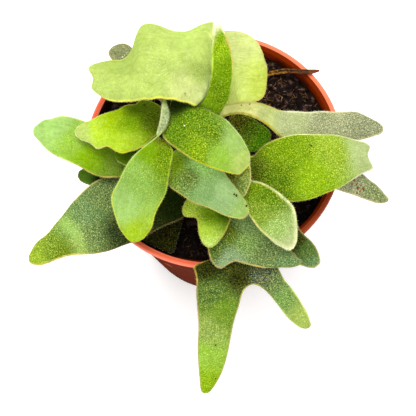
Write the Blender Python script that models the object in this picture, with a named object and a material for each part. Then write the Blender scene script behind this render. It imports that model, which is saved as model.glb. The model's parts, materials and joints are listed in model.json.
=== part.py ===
"""Young staghorn fern in a round plastic nursery pot.

The fronds, leathery sheets with waved or forked ends, spring from a scaly crown that stands
in a hole in the soil. A dry twig and the stub of an old stalk lie loose on top.
The pot stands on Z = 0 with its axis on the Z axis. Metres, +Z up, the front of the plant
faces -Y. Sizes below are millimetres and are turned into metres when a piece is made.
"""
import math
import random

import bmesh
import bpy
import numpy as np
from mathutils import Vector

MM = 0.001
SEED = 12

# pot
SIDES = 48
POT_HEIGHT = 100.0
LIP_RADIUS = 60.1
LIP_HEIGHT = 1.9
LIP_EDGE = 0.4
MOUTH_RADIUS = 57.6
BASE_RADIUS = 43.0
WALL = 1.3
FLOOR = 2.0
BODY_TOP_RADIUS = 57.6
EDGE = 0.6
FLOOR_CORNER = 1.0
HOLE_RADIUS = 4.0
HOLE_RING = 30.0
HOLES = 6
HOLE_SIDES = 12

# soil and crown
GAP = 0.3
SOIL_EDGE = 94.0
SOIL_ROUGH = 0.7
SOIL_DISH = 1.0
CROWN_X, CROWN_Y = -7.0, 3.0
CROWN_RADIUS = 12.0
CROWN_FOOT = 87.0
CROWN_SHOULDER = 94.5
CROWN_RISE = 19.0
CROWN_SIDES = 24
CROWN_ROUGH = 0.35

# fronds
BLADE = 0.9
CELL = 6.0
WAVE = 0.35
WAVE_LENGTH = 15.0

# Each frond is a leathery sheet laid through cross rows from its root to its tip.
# A row is left margin x, y, z, right margin x, y, z, and how far the middle stands up.
FRONDS = {
    "frond_back_fan": [
        (-9.4, 13, 107, -5.3, 13, 107, 0), (-9, 12.8, 118, -4, 13, 118, 0),
        (-8, 9.5, 130, -2.5, 10, 130, 0), (-7.5, 4.5, 139, -2, 7, 139, 0),
        (-6, -2, 144, -1.4, 3.6, 141.7, 0), (-9, -1, 145.5, 2, 8.5, 144, 1),
        (-13, 0, 146.5, 4.5, 17, 147.5, 2), (-17.5, 1, 147, 6, 28, 149.5, 3),
        (-20.5, 1.5, 147, 4.5, 34, 150, 3), (-23.5, 1.5, 147, -1.5, 33, 150, 3),
        (-26, 1.5, 147, -7.5, 31, 149, 3), (-28, 2, 146.5, -14.5, 33.5, 148, 3),
        (-30, 2, 146, -21, 37.5, 146.5, 3), (-31, 2, 145.5, -26.5, 39, 145, 2.5),
        (-32.5, 2.5, 145, -29, 35, 144, 2), (-34, 2.5, 144.5, -32, 27.5, 143, 1.5),
        (-36.5, 3, 144, -36, 24, 142, 1.5), (-41.5, 4.5, 142.5, -41.5, 25, 140.5, 1.5),
        (-46.5, 8.5, 140, -48, 25.5, 138.5, 1), (-49.5, 14, 138.5, -50.5, 23.5, 137.5, 0)],
    "frond_back_right": [
        (-3, 11.8, 108, 0, 9.6, 108, 0), (-1.5, 11, 120, 0.5, 8.5, 120, 0),
        (0, 9.5, 130, 2.5, 6, 129.5, 0), (3, 9.5, 137, 5, 2, 134, 0),
        (3.5, 21.5, 140, 10.5, 2, 136, 1), (5.5, 33.5, 142, 15.5, 1.5, 137, 1.5),
        (14, 33.5, 142.5, 20, 1.5, 137, 1.5), (20, 30.5, 142, 23.5, 4, 137.5, 1),
        (23.5, 26.5, 141, 25, 11, 138, 0.5), (24.5, 21, 140, 25.5, 16, 139, 0)],
    "frond_upright": [
        (-1.2, -3.4, 109.5, 1, -0.2, 109.5, 0), (-2.5, -4.5, 121, 1.5, -2.5, 121, 0),
        (-3, -5.5, 131, 3.5, -4, 131, 0), (-5, 0, 139, 3.5, -3.5, 137.5, 0),
        (-2, 1, 143, 7, -0.5, 141, 0.5), (0, 4, 146, 9, 2.5, 145, 1),
        (1.5, 8, 150, 10.5, 8, 149, 1), (2.5, 14, 153.3, 10.7, 13.5, 153, 1),
        (3, 19.3, 155.5, 10, 18.6, 155.5, 0.7), (3.3, 22.2, 157.2, 9.1, 21.5, 157.2, 0.5),
        (3.7, 25, 158.7, 7.9, 24.4, 158.6, 0.2), (4.1, 27.2, 160, 6.6, 27, 160, 0)],
    "frond_top_front": [
        (-11, 13.3, 105, -14.5, 11.2, 105, 0), (-11.5, 13.8, 118, -15, 12, 118, 0),
        (-11, 12.3, 130, -15.5, 10.5, 130, 0), (-10, 4.5, 139.5, -16.2, 3.4, 139.5, 0),
        (-5.5, -0.5, 141, -17.6, -2.4, 141.3, 1), (-1.5, -3, 142, -18.6, -9.6, 141.9, 1.5),
        (2, -5.5, 142, -21, -13, 141.5, 1.5), (5, -7.5, 142, -18.5, -16.5, 141, 2),
        (7.5, -10, 141, -14, -20, 140, 2.5), (10, -13, 140, -9.5, -23.5, 139, 2.5),
        (12, -16, 138.5, -4.5, -26, 137.5, 2.5), (13.5, -19, 136.5, 0.5, -27.5, 135.5, 2),
        (15, -22, 134, 6, -29, 133, 1.5), (14.5, -25.5, 132, 10, -29.5, 131.5, 0.5)],
    "frond_front_long": [
        (-18, 7.2, 103, -16, 10.3, 103, 0), (-18.5, 8, 116, -16.5, 11, 116, 0),
        (-20, 9, 128, -17.5, 11.3, 128, 0), (-20.5, 7.5, 138, -18, 8.5, 138, 0),
        (-20, 2, 143.5, -18.5, 2, 143.5, 0), (-20.4, -3, 144.5, -17.4, -3.2, 144.2, 0),
        (-20.9, -6.5, 144.4, -17.2, -6.6, 144.1, 0), (-22.1, -10.3, 143.5, -18.8, -10.5, 143.7, 0),
        (-23.5, -12.5, 141.5, -21.5, -13.5, 143.5, 0), (-22.5, -13, 139.5, -23, -14, 143, 0),
        (-20, -14.5, 139, -25.5, -15, 141, 0), (-17, -19, 138.5, -29.5, -17.5, 140, -1),
        (-18.5, -24, 136.5, -34.5, -20.5, 138, -1.5), (-20, -29, 132.5, -40.5, -28, 133, -1.5),
        (-22, -34, 127, -45.5, -32.5, 126.5, -1), (-25.5, -39.5, 121.5, -46.5, -37.5, 120.5, -1),
        (-29, -44.5, 116.5, -44, -43, 115.5, -0.5), (-33, -47, 112.5, -40.5, -47, 112, 0),
        (-37, -48.7, 111, -37, -48.7, 111, 0)],
    "frond_left_upper": [
        (-19.2, 2.7, 100, -18.7, 6.6, 100, 0), (-21, 1.5, 110.5, -20.8, 6.3, 110.5, 0),
        (-22.5, 0.5, 121.5, -21.5, 10, 121.5, 0), (-24, -3.5, 123.5, -25, 12, 123.5, 1),
        (-26.5, -6, 124.5, -28.5, 13, 124.5, 1), (-30, -9, 125, -33.5, 12.5, 125, 1.5),
        (-34.5, -11, 124.5, -36.5, 12, 124.5, 1.5), (-39, -11.3, 124, -40, 10.3, 124, 1.5),
        (-43, -10, 123, -44, 10, 122.5, 1.5), (-44.7, -7.8, 122, -46.2, 9.6, 122, 1.3),
        (-48, -7.2, 121.2, -49.5, 9, 121, 1), (-51, -6.8, 120, -53, 8.3, 119.5, 1),
        (-53.5, -4.3, 119.5, -55.3, 8, 119, 0.7), (-55, -2.7, 119, -57, 7.5, 118.5, 0.5),
        (-59, -0.5, 117.5, -60.5, 6, 117.5, 0.3), (-62, 3, 117, -62, 3, 117, 0)],
    "frond_left_long": [
        (-19.3, 0.4, 97, -19.5, 4.7, 97, 0), (-25, -3.2, 101.5, -25.5, 2.5, 101.5, 0),
        (-30, -8.5, 106, -30.5, -2.5, 106, 0), (-36.5, -15.5, 110, -37, 0, 110, 0),
        (-42, -17.5, 112, -42, 2, 112, -0.5), (-49.5, -18, 114, -51, 6.5, 114, -1),
        (-55.5, -16, 115, -56, 9, 115, -1.5), (-60.5, -12, 115, -62, 12, 115, -1.5),
        (-66, -8.5, 114, -68, 14, 114, -1), (-71, -5.5, 113, -72.5, 14, 113, -0.7),
        (-76.5, 0, 111, -77, 14, 111.5, -0.3), (-80, 5, 109.5, -80.5, 12.5, 110, 0),
        (-82.5, 10, 109, -82.5, 10, 109, 0)],
    "frond_left_small": [
        (-17, -4.1, 99.5, -18.8, -0.5, 99.5, 0), (-21, -5, 109, -22.3, -1, 109.5, 0),
        (-25.5, -7.5, 115, -26.5, -2.5, 115.5, 0), (-32, -14.5, 117, -33.5, -4, 117, 0),
        (-37, -16, 117.5, -39.5, -5.5, 117.5, 0.5), (-42, -13, 117, -43, -6.5, 117, 0.3),
        (-44, -9.5, 116.5, -44, -9.5, 116.5, 0)],
    "frond_left_low": [
        (-15.2, -6.7, 96, -18, -3.4, 96, 0), (-25, -11, 98, -27, -6, 98, 0),
        (-34, -11, 100, -34.5, -5, 100, 0), (-45, -15, 102, -44.5, -6, 102, 0.5),
        (-54, -17.5, 103, -54, -7.5, 103, 0.5), (-58.5, -16.5, 103.2, -59.5, -8, 103.2, 0.5),
        (-62.5, -14, 103, -62.5, -9, 103, 0), (-63.5, -11.5, 103, -63.5, -11.5, 103, 0)],
    "frond_left_front": [
        (-11.2, -8.7, 98.5, -15, -6.5, 98.5, 0), (-11, -17, 99.8, -17.5, -12.5, 100.5, 0),
        (-15.5, -34.5, 101.5, -21.5, -12.5, 103.5, 1), (-23, -38.5, 103, -29.5, -13, 105, 1),
        (-31, -42.5, 104.5, -36.5, -13.8, 106.5, 1.2), (-37.5, -46.3, 106, -43, -15.3, 108, 1.2),
        (-44, -48.5, 107.5, -48.5, -16.3, 109, 1.5), (-50, -51, 109, -53.5, -18, 110, 1.7),
        (-55.5, -52, 110, -59, -22, 111, 1.7), (-61, -51.5, 109, -63, -26, 110, 1.5),
        (-67, -51, 107, -67, -29, 108, 1.5), (-71.5, -51, 105, -72, -34, 106, 1),
        (-76.5, -52, 102.5, -77, -38.5, 103.5, 1), (-82, -52, 100, -82.5, -41, 101, 0.7),
        (-86, -50.5, 98, -86, -45, 98.5, 0.3), (-87.5, -48, 97.5, -87.5, -48, 97.5, 0)],
    "frond_pot_inner": [
        (-7.8, -9.7, 95.5, -12, -8.6, 95.5, 0), (-9.5, -20, 96, -16.5, -18, 96, 0),
        (-15, -30, 97, -24.5, -27, 97, 0.3), (-18.2, -39, 97.5, -33.5, -35.3, 97.5, 0.4),
        (-20.4, -45.8, 97.4, -36.2, -40.6, 97.4, 0.3), (-22.2, -51.1, 97.4, -33.3, -44.6, 97.4, 0)],
    "frond_front_small": [
        (-4.6, -8.2, 103, -8.6, -8.3, 103, 0), (-2, -15, 107, -8, -15, 107, 0),
        (0, -22, 110.5, -6.5, -22.5, 110.5, 0), (3.5, -28, 113, -6, -27, 113, 0),
        (5, -36, 114, -12, -30.5, 114, 0.5), (5.5, -38.5, 114, -14.5, -33, 114, 0.5),
        (5.3, -40, 114, -16, -36, 113.5, 0.5), (5.1, -41, 114, -15, -39.5, 113, 0.5),
        (4.5, -43, 114, -9.5, -40.3, 113.3, 0.5), (3, -46.3, 113, -9.5, -44.4, 112.7, 0.5),
        (0.5, -49.7, 111.7, -9, -49.2, 111.7, 0.5), (-2.5, -52.6, 110.3, -7.5, -52.3, 110.3, 0.2),
        (-5, -53.7, 109.7, -5, -53.7, 109.7, 0)],
    "frond_right_front": [
        (1.7, -4.9, 102, -1.4, -7.4, 102, 0), (5, -13, 108.5, 0.5, -16.5, 108.5, 0),
        (10.5, -20, 114, 5, -25.5, 113.5, 0), (14.5, -26.5, 117, 9, -31.5, 116.5, -0.3),
        (19.5, -28.5, 118.5, 11, -36, 118.5, -0.8), (24, -32, 119.5, 12, -41.5, 119, -1.3),
        (28.5, -36.5, 119, 14.5, -46, 118.5, -1.5), (32, -40, 118, 17.5, -50.5, 117, -1.5),
        (33, -44.5, 116, 21, -53.5, 115, -1.3), (33, -50, 113.5, 24, -55.5, 112.5, -0.8),
        (32.5, -54.5, 111, 27.5, -57, 110.5, -0.3), (30, -57.7, 110, 30, -57.7, 110, 0)],
    "frond_middle_small": [
        (3.5, 0.3, 105, 1.9, -3.3, 105, 0), (7, -5, 113, 3.5, -8, 113, 0),
        (11, -10, 119, 6, -12, 118.5, 0), (14, -15, 121.5, 5, -17, 121.5, 0),
        (15, -21, 122.5, 3.5, -23, 122.5, 0.3), (15, -26, 122.5, 4, -28, 122.5, 0.3),
        (14.5, -30, 122, 6, -30.5, 121.5, 0.3), (12.5, -33.5, 121.5, 8, -32.5, 121, 0),
        (10.5, -35.5, 120.5, 10.5, -35.5, 120.5, 0)],
    "frond_middle_front": [
        (-2.8, -6.2, 107, -6.7, -7.2, 107, 0), (-2.5, -9, 116, -8.5, -9, 116, 0),
        (-3.5, -12, 122, -11.5, -12.5, 122, 0), (-7.5, -14, 126, -16.5, -13, 126, 0.5),
        (-3.5, -17.5, 128, -20, -23, 127.5, 1), (-1, -20.5, 129, -20.5, -29.5, 127.5, 1.5),
        (1.5, -23.5, 129, -14, -35.5, 127, 1.5), (4.5, -28.5, 128.5, -9.5, -38.5, 126, 1.5),
        (7.5, -33, 127, -3.5, -41, 125, 1.5), (10, -36.5, 125, 1.5, -43.5, 123.5, 1),
        (12, -39, 123, 6, -45, 122, 0.6), (13, -42.5, 121, 10, -45.5, 121, 0.2)],
    "frond_front_wedge": [
        (-1, -7.7, 99.5, -4.8, -9.1, 99.5, 0), (2.5, -18, 103, -2.5, -19.5, 103, 0),
        (7.5, -27, 106, 1.5, -29, 106, 0), (15, -35, 109.5, 6, -36, 109, 0),
        (18.5, -42, 109.5, 2, -41.8, 109, 0.5), (22.5, -47.5, 108.5, -3.5, -49.5, 108, 1),
        (26.5, -52.5, 107.3, -6, -53, 107.5, 0.7), (29.5, -56.5, 106.8, -5.2, -57, 107, 0)],
    "frond_right_low": [
        (3.6, -3.8, 97, 0.9, -6.8, 97, 0), (10, -17, 98.5, 6, -20, 98.5, 0),
        (18, -28, 100.5, 13, -31.5, 100.5, 0), (30, -34.5, 102, 19, -42.5, 102, 0.3),
        (33.5, -41.5, 103, 21.5, -49, 102.5, 0.3), (35.5, -47.5, 103, 25.5, -54, 102.5, 0.3),
        (39, -51.5, 103, 28.5, -58.5, 102.5, 0.3), (41.5, -55, 102.5, 32.5, -61.5, 102.5, 0.3),
        (42.5, -59, 102, 36, -63, 101.5, 0.2), (42.5, -62, 101.5, 39.5, -64, 101.5, 0)],
    "frond_bottom_fork": [
        (-1.8, -8.6, 95.7, -5.7, -9.6, 95.7, 0), (3, -20, 96.5, -2.5, -21.5, 96.5, 0),
        (8, -33, 98, 1.5, -34.5, 98, 0), (13.5, -44.5, 100, 2.5, -46, 100, 0.3),
        (18.5, -54, 101.8, 0, -53.5, 101.8, 0.5), (22, -60.5, 102.5, -6, -57, 102.5, 1),
        (23.8, -63, 102.8, -13, -59, 102.5, 1.2), (25, -66.6, 102.8, -12, -63, 102.5, 1.2),
        (26.8, -70, 102.5, -12, -67.5, 102.5, 1)],
    "frond_right_broad": [
        (4.9, 0.9, 100, 3.6, -3, 100, 0), (9.5, -4, 105, 8, -9, 104.5, 0),
        (14, -10, 109.5, 12.5, -17, 108, 0), (17, -13.5, 112.5, 15, -20.5, 110, 0),
        (21.5, -10.5, 116, 20, -28.5, 111, 0.5), (28, -8.5, 118, 26, -34, 112, 1),
        (34.5, -7.5, 119.5, 32.5, -36.5, 113, 1.5), (41, -8, 120, 39, -36.5, 114.5, 2),
        (48, -8.5, 119.5, 45.5, -35, 115, 2), (55.5, -9, 118, 52.5, -32.5, 114.5, 2),
        (62, -10, 115.5, 59, -29, 113, 1.5), (66.5, -11, 113, 65, -25, 111, 1),
        (69.5, -12.5, 111, 69.8, -22, 109.5, 0)],
    "frond_right_long": [
        (3, 8.6, 104, 4.2, 5, 104, 0), (4, 8.2, 112, 4.6, 3.5, 112, 0),
        (4.4, 8, 120, 4.2, 2.6, 119.6, 0), (4.6, 8, 123.8, 2.8, 1.4, 123.3, 0),
        (10, 7, 125.5, 8.5, 2, 125.5, -0.3), (15.5, 7, 126, 14, 1.5, 126, -0.5),
        (21.5, 7, 125, 20, -0.5, 124.5, -0.5), (25.5, 6, 123, 24.5, -3, 122, -0.5),
        (30, 4.5, 121, 29, -5.8, 117.5, -0.5), (35, 4.5, 119, 33, -8.6, 113.5, -0.3),
        (41, 4.5, 117, 36.5, -12.5, 112, 0), (49, 5, 115, 42, -19, 110.5, 0)],
    "frond_right_inner": [
        (4.9, 6.9, 98, 5.5, 2.5, 98, 0), (8, 8.5, 105, 9, 3, 104.5, 0),
        (9.5, 11.5, 110, 8, 3.5, 109.5, 0.3), (13, 9.5, 111.5, 8.5, -4, 111, 0.7),
        (18, 6, 112, 12.5, -8.5, 111.5, 1), (22.5, 3, 111.5, 17.5, -10, 110.5, 0.7),
        (25.5, 0.5, 110.5, 21.5, -8.7, 109.5, 0.3), (26.5, -2.3, 109.5, 25, -5.8, 109.5, 0)],
    "frond_back_left": [
        (-15.6, 11.8, 98.5, -12.4, 14.1, 98.5, 0), (-20, 19, 102.5, -16, 22, 102.5, 0),
        (-23.5, 22.5, 106, -20.5, 30, 106, 0), (-32, 30, 108, -29.5, 42.5, 108, 0.4),
        (-39.5, 38.5, 109, -35.5, 50.5, 109, 0.6), (-45, 44.5, 109, -40.5, 53, 109, 0.5),
        (-46.7, 48.5, 109, -44.5, 51.5, 109, 0.2)],
}

# A forked frond ends in two lobes. The fork point x, y, z stands at a share of the last row;
# the first lobe goes on from the left margin to the fork, the second from there to the right.
FORKS = {
    "frond_bottom_fork": (
        (12, -69, 103.5, 0.4),
        [(28.8, -72.8, 102, 16.5, -71.5, 102.5, 0.4), (31.7, -77.5, 100.5, 21, -76.5, 100.5, 0.4),
         (34.5, -83, 98.5, 25.5, -83.5, 98.5, 0.3), (35.5, -86.5, 97, 29.5, -87.5, 97, 0.2),
         (34.5, -89.5, 96, 34.5, -89.5, 96, 0)],
        [(8, -71.5, 102.5, -12.5, -72, 102.5, 0.5), (5.5, -77.5, 101.5, -12.5, -78.5, 101.5, 0.7),
         (2.5, -84.5, 100, -12.5, -85, 100, 0.7), (0, -93, 97, -13.5, -93, 97, 0.7),
         (-2.5, -100.5, 94, -14, -100, 94, 0.6), (-5.5, -106.5, 91, -14, -106.5, 91, 0.4),
         (-8.5, -110, 88.5, -14, -110.5, 88.5, 0.2), (-12, -112.5, 87, -12, -112.5, 87, 0)]),
    "frond_right_long": (
        (51, -11.5, 111.5, 0.6),
        [(57.5, 5, 113.3, 59.5, -9.5, 110.5, 0.5), (66, 5.3, 111.2, 66, -8, 109.7, 0.5),
         (71.5, 3, 110, 71.5, -6.8, 109, 0.4), (75.5, 0.3, 109.2, 75, -5.8, 108.7, 0.2),
         (78, -3.3, 108.3, 78, -3.3, 108.3, 0)],
        [(58, -16.3, 110.3, 45.5, -24.3, 109, 0.3), (62, -20.8, 108.5, 49.5, -28, 108, 0.4),
         (66.5, -24.5, 107, 55, -30.5, 106.5, 0.4), (69.5, -27, 105.5, 60.5, -32.5, 105, 0.4),
         (73, -30, 104, 66, -34.5, 103.5, 0.3), (75.5, -34, 103, 71, -36.5, 102.5, 0.1),
         (76, -36, 102, 76, -36, 102, 0)]),
    "frond_front_wedge": (
        (5.5, -59, 106.5, 0.65),
        [(30, -57.3, 106.6, 11, -61.5, 106.3, 0.3), (31, -58.5, 106.4, 17, -63.3, 106.3, 0.3),
         (32, -59.7, 106, 23, -63.5, 106, 0.2), (33, -60.8, 105.5, 29, -64, 105.3, 0.1),
         (34, -62.5, 105, 34, -62.5, 105, 0)],
        [(2, -60.5, 106.3, -4.8, -58.8, 106.6, 0.1), (-0.5, -62, 105.8, -3, -61.3, 106, 0)]),
}

# Fronds whose end is notched: the notch x, y, z and its share along the last row.
NOTCHES = {
    "frond_right_broad": (68, -16.5, 110.8, 0.45),
    "frond_back_fan": (-49.2, 18.5, 138.3, 0.5),
}

# photo colours of the fronds, red green blue of 255
GREENS = {
    "frond_back_fan": (198, 222, 108), "frond_back_right": (205, 230, 105),
    "frond_upright": (92, 148, 28), "frond_top_front": (110, 165, 45),
    "frond_front_long": (145, 195, 80), "frond_left_upper": (160, 205, 40),
    "frond_left_long": (125, 175, 95), "frond_left_small": (95, 135, 55),
    "frond_left_low": (60, 85, 50), "frond_left_front": (95, 122, 75),
    "frond_pot_inner": (28, 38, 20), "frond_front_small": (130, 175, 60),
    "frond_right_front": (120, 165, 75), "frond_middle_small": (120, 145, 105),
    "frond_middle_front": (105, 145, 95), "frond_front_wedge": (90, 125, 70),
    "frond_right_low": (75, 110, 50), "frond_bottom_fork": (100, 145, 60),
    "frond_right_broad": (135, 185, 35), "frond_right_long": (135, 155, 105),
    "frond_right_inner": (60, 115, 40), "frond_back_left": (85, 105, 75),
}

# Loose dry pieces: stations of x, y, z of the middle line and half width.
TWIG = [(24.5, 37.2, 94.3, 0.5), (28.5, 37.2, 94.4, 0.8), (34.5, 37.3, 95.8, 1.0),
        (40.5, 35.8, 98.4, 1.2), (45.5, 33.8, 100.7, 1.3), (50, 33.5, 101.3, 1.5),
        (53.5, 33.4, 101.7, 0.5)]
TWIG_HALF_THICKNESS = 0.6
OLD_STALK = [(-15.2, -36.5, 95.1, 1.1), (-13.4, -36.2, 95.4, 1.5), (-11.2, -36, 95.4, 1.4),
             (-9, -35.7, 95.3, 1.0)]
OLD_STALK_HALF_THICKNESS = 1.2


def clear_scene():
    for item in list(bpy.data.objects):
        bpy.data.objects.remove(item, do_unlink=True)


def material(name, rgb, roughness):
    made = bpy.data.materials.new(name)
    made.use_nodes = True
    shader = made.node_tree.nodes["Principled BSDF"]
    linear = [((c / 255 + 0.055) / 1.055) ** 2.4 if c > 10 else c / 255 / 12.92 for c in rgb]
    shader.inputs["Base Color"].default_value = (*linear, 1.0)
    shader.inputs["Roughness"].default_value = roughness
    shader.inputs["Metallic"].default_value = 0.0
    return made


def solid(name, points, faces, look):
    """Put points in millimetres and faces into the scene as one named piece."""
    mesh = bpy.data.meshes.new(name)
    mesh.from_pydata([tuple(Vector(p) * MM) for p in points], [], faces)
    shape = bmesh.new()
    shape.from_mesh(mesh)
    bmesh.ops.recalc_face_normals(shape, faces=shape.faces)
    shape.to_mesh(mesh)
    shape.free()
    mesh.materials.append(look)
    item = bpy.data.objects.new(name, mesh)
    bpy.context.collection.objects.link(item)
    return item


def turned(name, profile, look):
    """Turn a closed profile of radius, height about the Z axis."""
    points = []
    for radius, height in profile:
        for k in range(SIDES):
            angle = 2 * math.pi * k / SIDES
            points.append((radius * math.cos(angle), radius * math.sin(angle), height))
    faces = []
    rings = len(profile)
    for i in range(rings - 1):
        for k in range(SIDES):
            n = (k + 1) % SIDES
            faces.append((i * SIDES + k, i * SIDES + n, (i + 1) * SIDES + n, (i + 1) * SIDES + k))
    faces.append(tuple(range(SIDES)))
    faces.append(tuple((rings - 1) * SIDES + k for k in range(SIDES)))
    return solid(name, points, faces, look)


def cut(item, cutters):
    for cutter in cutters:
        modifier = item.modifiers.new("cut", "BOOLEAN")
        modifier.operation = "DIFFERENCE"
        modifier.object = cutter
        cutter.hide_render = True
        cutter.display_type = "WIRE"
        bpy.context.view_layer.objects.active = item
        bpy.ops.object.modifier_apply(modifier=modifier.name)
        bpy.data.objects.remove(cutter, do_unlink=True)


def cylinder(x, y, low, high, radius, sides):
    bpy.ops.mesh.primitive_cylinder_add(
        vertices=sides, radius=radius * MM, depth=(high - low) * MM,
        location=(x * MM, y * MM, (low + high) / 2 * MM))
    return bpy.context.object


def wall_radius(height):
    """Radius of the pot's inner wall at a height below the lip."""
    share = (height - FLOOR) / (POT_HEIGHT - LIP_HEIGHT - FLOOR)
    low = BASE_RADIUS - WALL
    high = BODY_TOP_RADIUS - WALL
    return low + (high - low) * share


def make_pot():
    under_lip = POT_HEIGHT - LIP_HEIGHT
    profile = [
        (BASE_RADIUS - EDGE, 0.0), (BASE_RADIUS, EDGE), (BODY_TOP_RADIUS, under_lip),
        (LIP_RADIUS - LIP_EDGE, under_lip), (LIP_RADIUS, under_lip + LIP_EDGE),
        (LIP_RADIUS, POT_HEIGHT - LIP_EDGE), (LIP_RADIUS - LIP_EDGE, POT_HEIGHT),
        (MOUTH_RADIUS + LIP_EDGE, POT_HEIGHT), (MOUTH_RADIUS, POT_HEIGHT - LIP_EDGE),
        (wall_radius(under_lip), under_lip),
        (wall_radius(FLOOR + FLOOR_CORNER), FLOOR + FLOOR_CORNER),
        (wall_radius(FLOOR) - FLOOR_CORNER, FLOOR)]
    pot = turned("pot", profile, material("pot_plastic", (214, 88, 52), 0.45))
    drains = []
    for k in range(HOLES):
        angle = 2 * math.pi * (k + 0.5) / HOLES
        drains.append(cylinder(HOLE_RING * math.cos(angle), HOLE_RING * math.sin(angle),
                               -FLOOR, 2 * FLOOR, HOLE_RADIUS, HOLE_SIDES))
    cut(pot, drains)


def make_soil():
    rng = random.Random(SEED)
    rings = [8.0, 20.0, 30.0, 39.0, 47.0, wall_radius(SOIL_EDGE) - GAP]
    points = [(0.0, 0.0, SOIL_EDGE - SOIL_DISH)]
    for radius in rings:
        edge = radius == rings[-1]
        for k in range(SIDES):
            angle = 2 * math.pi * k / SIDES
            rough = 0.0 if edge else rng.uniform(-SOIL_ROUGH, SOIL_ROUGH)
            reach = radius if edge else radius + rng.uniform(-SOIL_ROUGH, SOIL_ROUGH)
            dish = SOIL_DISH * (1 - (radius / rings[-1]) ** 2)
            points.append((reach * math.cos(angle), reach * math.sin(angle),
                           SOIL_EDGE - dish + rough))
    corner = FLOOR + FLOOR_CORNER + GAP
    foot = [(wall_radius(corner) - GAP, corner),
            (wall_radius(FLOOR) - FLOOR_CORNER - GAP, FLOOR + GAP)]
    for radius, height in foot:
        for k in range(SIDES):
            angle = 2 * math.pi * k / SIDES
            points.append((radius * math.cos(angle), radius * math.sin(angle), height))
    last = len(rings) + len(foot) - 1
    faces = [(0, 1 + k, 1 + (k + 1) % SIDES) for k in range(SIDES)]
    for i in range(last):
        low = 1 + i * SIDES
        for k in range(SIDES):
            n = (k + 1) % SIDES
            faces.append((low + k, low + SIDES + k, low + SIDES + n))
            faces.append((low + k, low + SIDES + n, low + n))
    faces.append(tuple(1 + last * SIDES + k for k in range(SIDES)))
    soil = solid("soil", points, faces, material("peat", (38, 28, 24), 0.95))
    cut(soil, [cylinder(CROWN_X, CROWN_Y, CROWN_FOOT - GAP, POT_HEIGHT,
                        CROWN_RADIUS + GAP, CROWN_SIDES)])


def crown_radius(height):
    if height <= CROWN_SHOULDER:
        return CROWN_RADIUS
    share = (height - CROWN_SHOULDER) / CROWN_RISE
    return CROWN_RADIUS * math.sqrt(max(0.0, 1 - share * share))


def make_crown():
    """The scaly rootstock that every frond springs from, set into a hole in the soil."""
    rng = random.Random(SEED + 1)
    heights = [CROWN_FOOT, CROWN_SHOULDER, 98, 101.5, 104.5, 107.5, 110, 112.2]
    sides = CROWN_SIDES
    points = []
    for height in heights:
        for k in range(sides):
            angle = 2 * math.pi * k / sides
            dent = 0.0 if height <= CROWN_SHOULDER else rng.uniform(0.0, CROWN_ROUGH)
            radius = crown_radius(height) - dent
            points.append((CROWN_X + radius * math.cos(angle),
                           CROWN_Y + radius * math.sin(angle), height))
    points.append((CROWN_X, CROWN_Y, CROWN_SHOULDER + CROWN_RISE))
    faces = [tuple(range(sides))]
    for i in range(len(heights) - 1):
        for k in range(sides):
            n = (k + 1) % sides
            faces.append((i * sides + k, i * sides + n, (i + 1) * sides + n, (i + 1) * sides + k))
    last = (len(heights) - 1) * sides
    top = len(points) - 1
    faces.extend((last + k, last + (k + 1) % sides, top) for k in range(sides))
    solid("crown", points, faces, material("crown_scales", (88, 66, 40), 0.9))


def rod(name, stations, half_thickness, look):
    """A rough six sided sliver through stations of x, y, z and half width."""
    points = []
    for index, (x, y, z, half) in enumerate(stations):
        before = Vector(stations[max(index - 1, 0)][:3])
        after = Vector(stations[min(index + 1, len(stations) - 1)][:3])
        ahead = (after - before).normalized()
        side = ahead.cross(Vector((0, 0, 1))).normalized()
        up = side.cross(ahead)
        height = min(half_thickness, half)
        for k in range(6):
            angle = math.pi * k / 3
            points.append(Vector((x, y, z)) + side * half * math.cos(angle)
                          + up * height * math.sin(angle))
    faces = [tuple(range(6))]
    for i in range(len(stations) - 1):
        for k in range(6):
            n = (k + 1) % 6
            faces.append((i * 6 + k, i * 6 + n, i * 6 + 6 + n, i * 6 + 6 + k))
    faces.append(tuple((len(stations) - 1) * 6 + k for k in range(6)))
    solid(name, points, faces, look)


def row_curve(row, fork=None):
    """The cross line of a row: a function from share across (0 to 1) to a point."""
    left = np.array(row[0:3], float)
    right = np.array(row[3:6], float)

    def plain(share):
        point = left * (1 - share) + right * share
        point[2] += row[6] * 4 * share * (1 - share)
        return point

    def forked(share):
        tip = np.array(fork[:3], float)
        if share < fork[3]:
            return left + (tip - left) * share / fork[3]
        return tip + (right - tip) * (share - fork[3]) / (1 - fork[3])

    return forked if fork else plain


def between(curves, marks, place, share):
    """Smooth curve along the frond through the same share of every row."""
    index = min(max(int(np.searchsorted(marks, place)) - 1, 0), len(curves) - 2)
    here = curves[index](share)
    ahead = curves[index + 1](share)
    span = marks[index + 1] - marks[index]
    slope_a = (ahead - here) / span
    slope_b = slope_a
    if index > 0:
        slope_a = (ahead - curves[index - 1](share)) / (marks[index + 1] - marks[index - 1])
    if index < len(curves) - 2:
        slope_b = (curves[index + 2](share) - here) / (marks[index + 2] - marks[index])
    t = (place - marks[index]) / span
    return ((2 * t ** 3 - 3 * t ** 2 + 1) * here + (t ** 3 - 2 * t ** 2 + t) * span * slope_a
            + (3 * t ** 2 - 2 * t ** 3) * ahead + (t ** 3 - t ** 2) * span * slope_b)


def zip_rows(first, second, points):
    """Triangles between two cross rows that may have different numbers of points."""
    faces = []
    i = j = 0
    while i < len(first) - 1 or j < len(second) - 1:
        step_first = j == len(second) - 1
        if not step_first and i < len(first) - 1:
            one = np.linalg.norm(points[first[i + 1]] - points[second[j]])
            two = np.linalg.norm(points[first[i]] - points[second[j + 1]])
            step_first = one <= two
        if step_first:
            faces.append((first[i], first[i + 1], second[j]))
            i += 1
        else:
            faces.append((first[i], second[j + 1], second[j]))
            j += 1
    return faces


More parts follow.
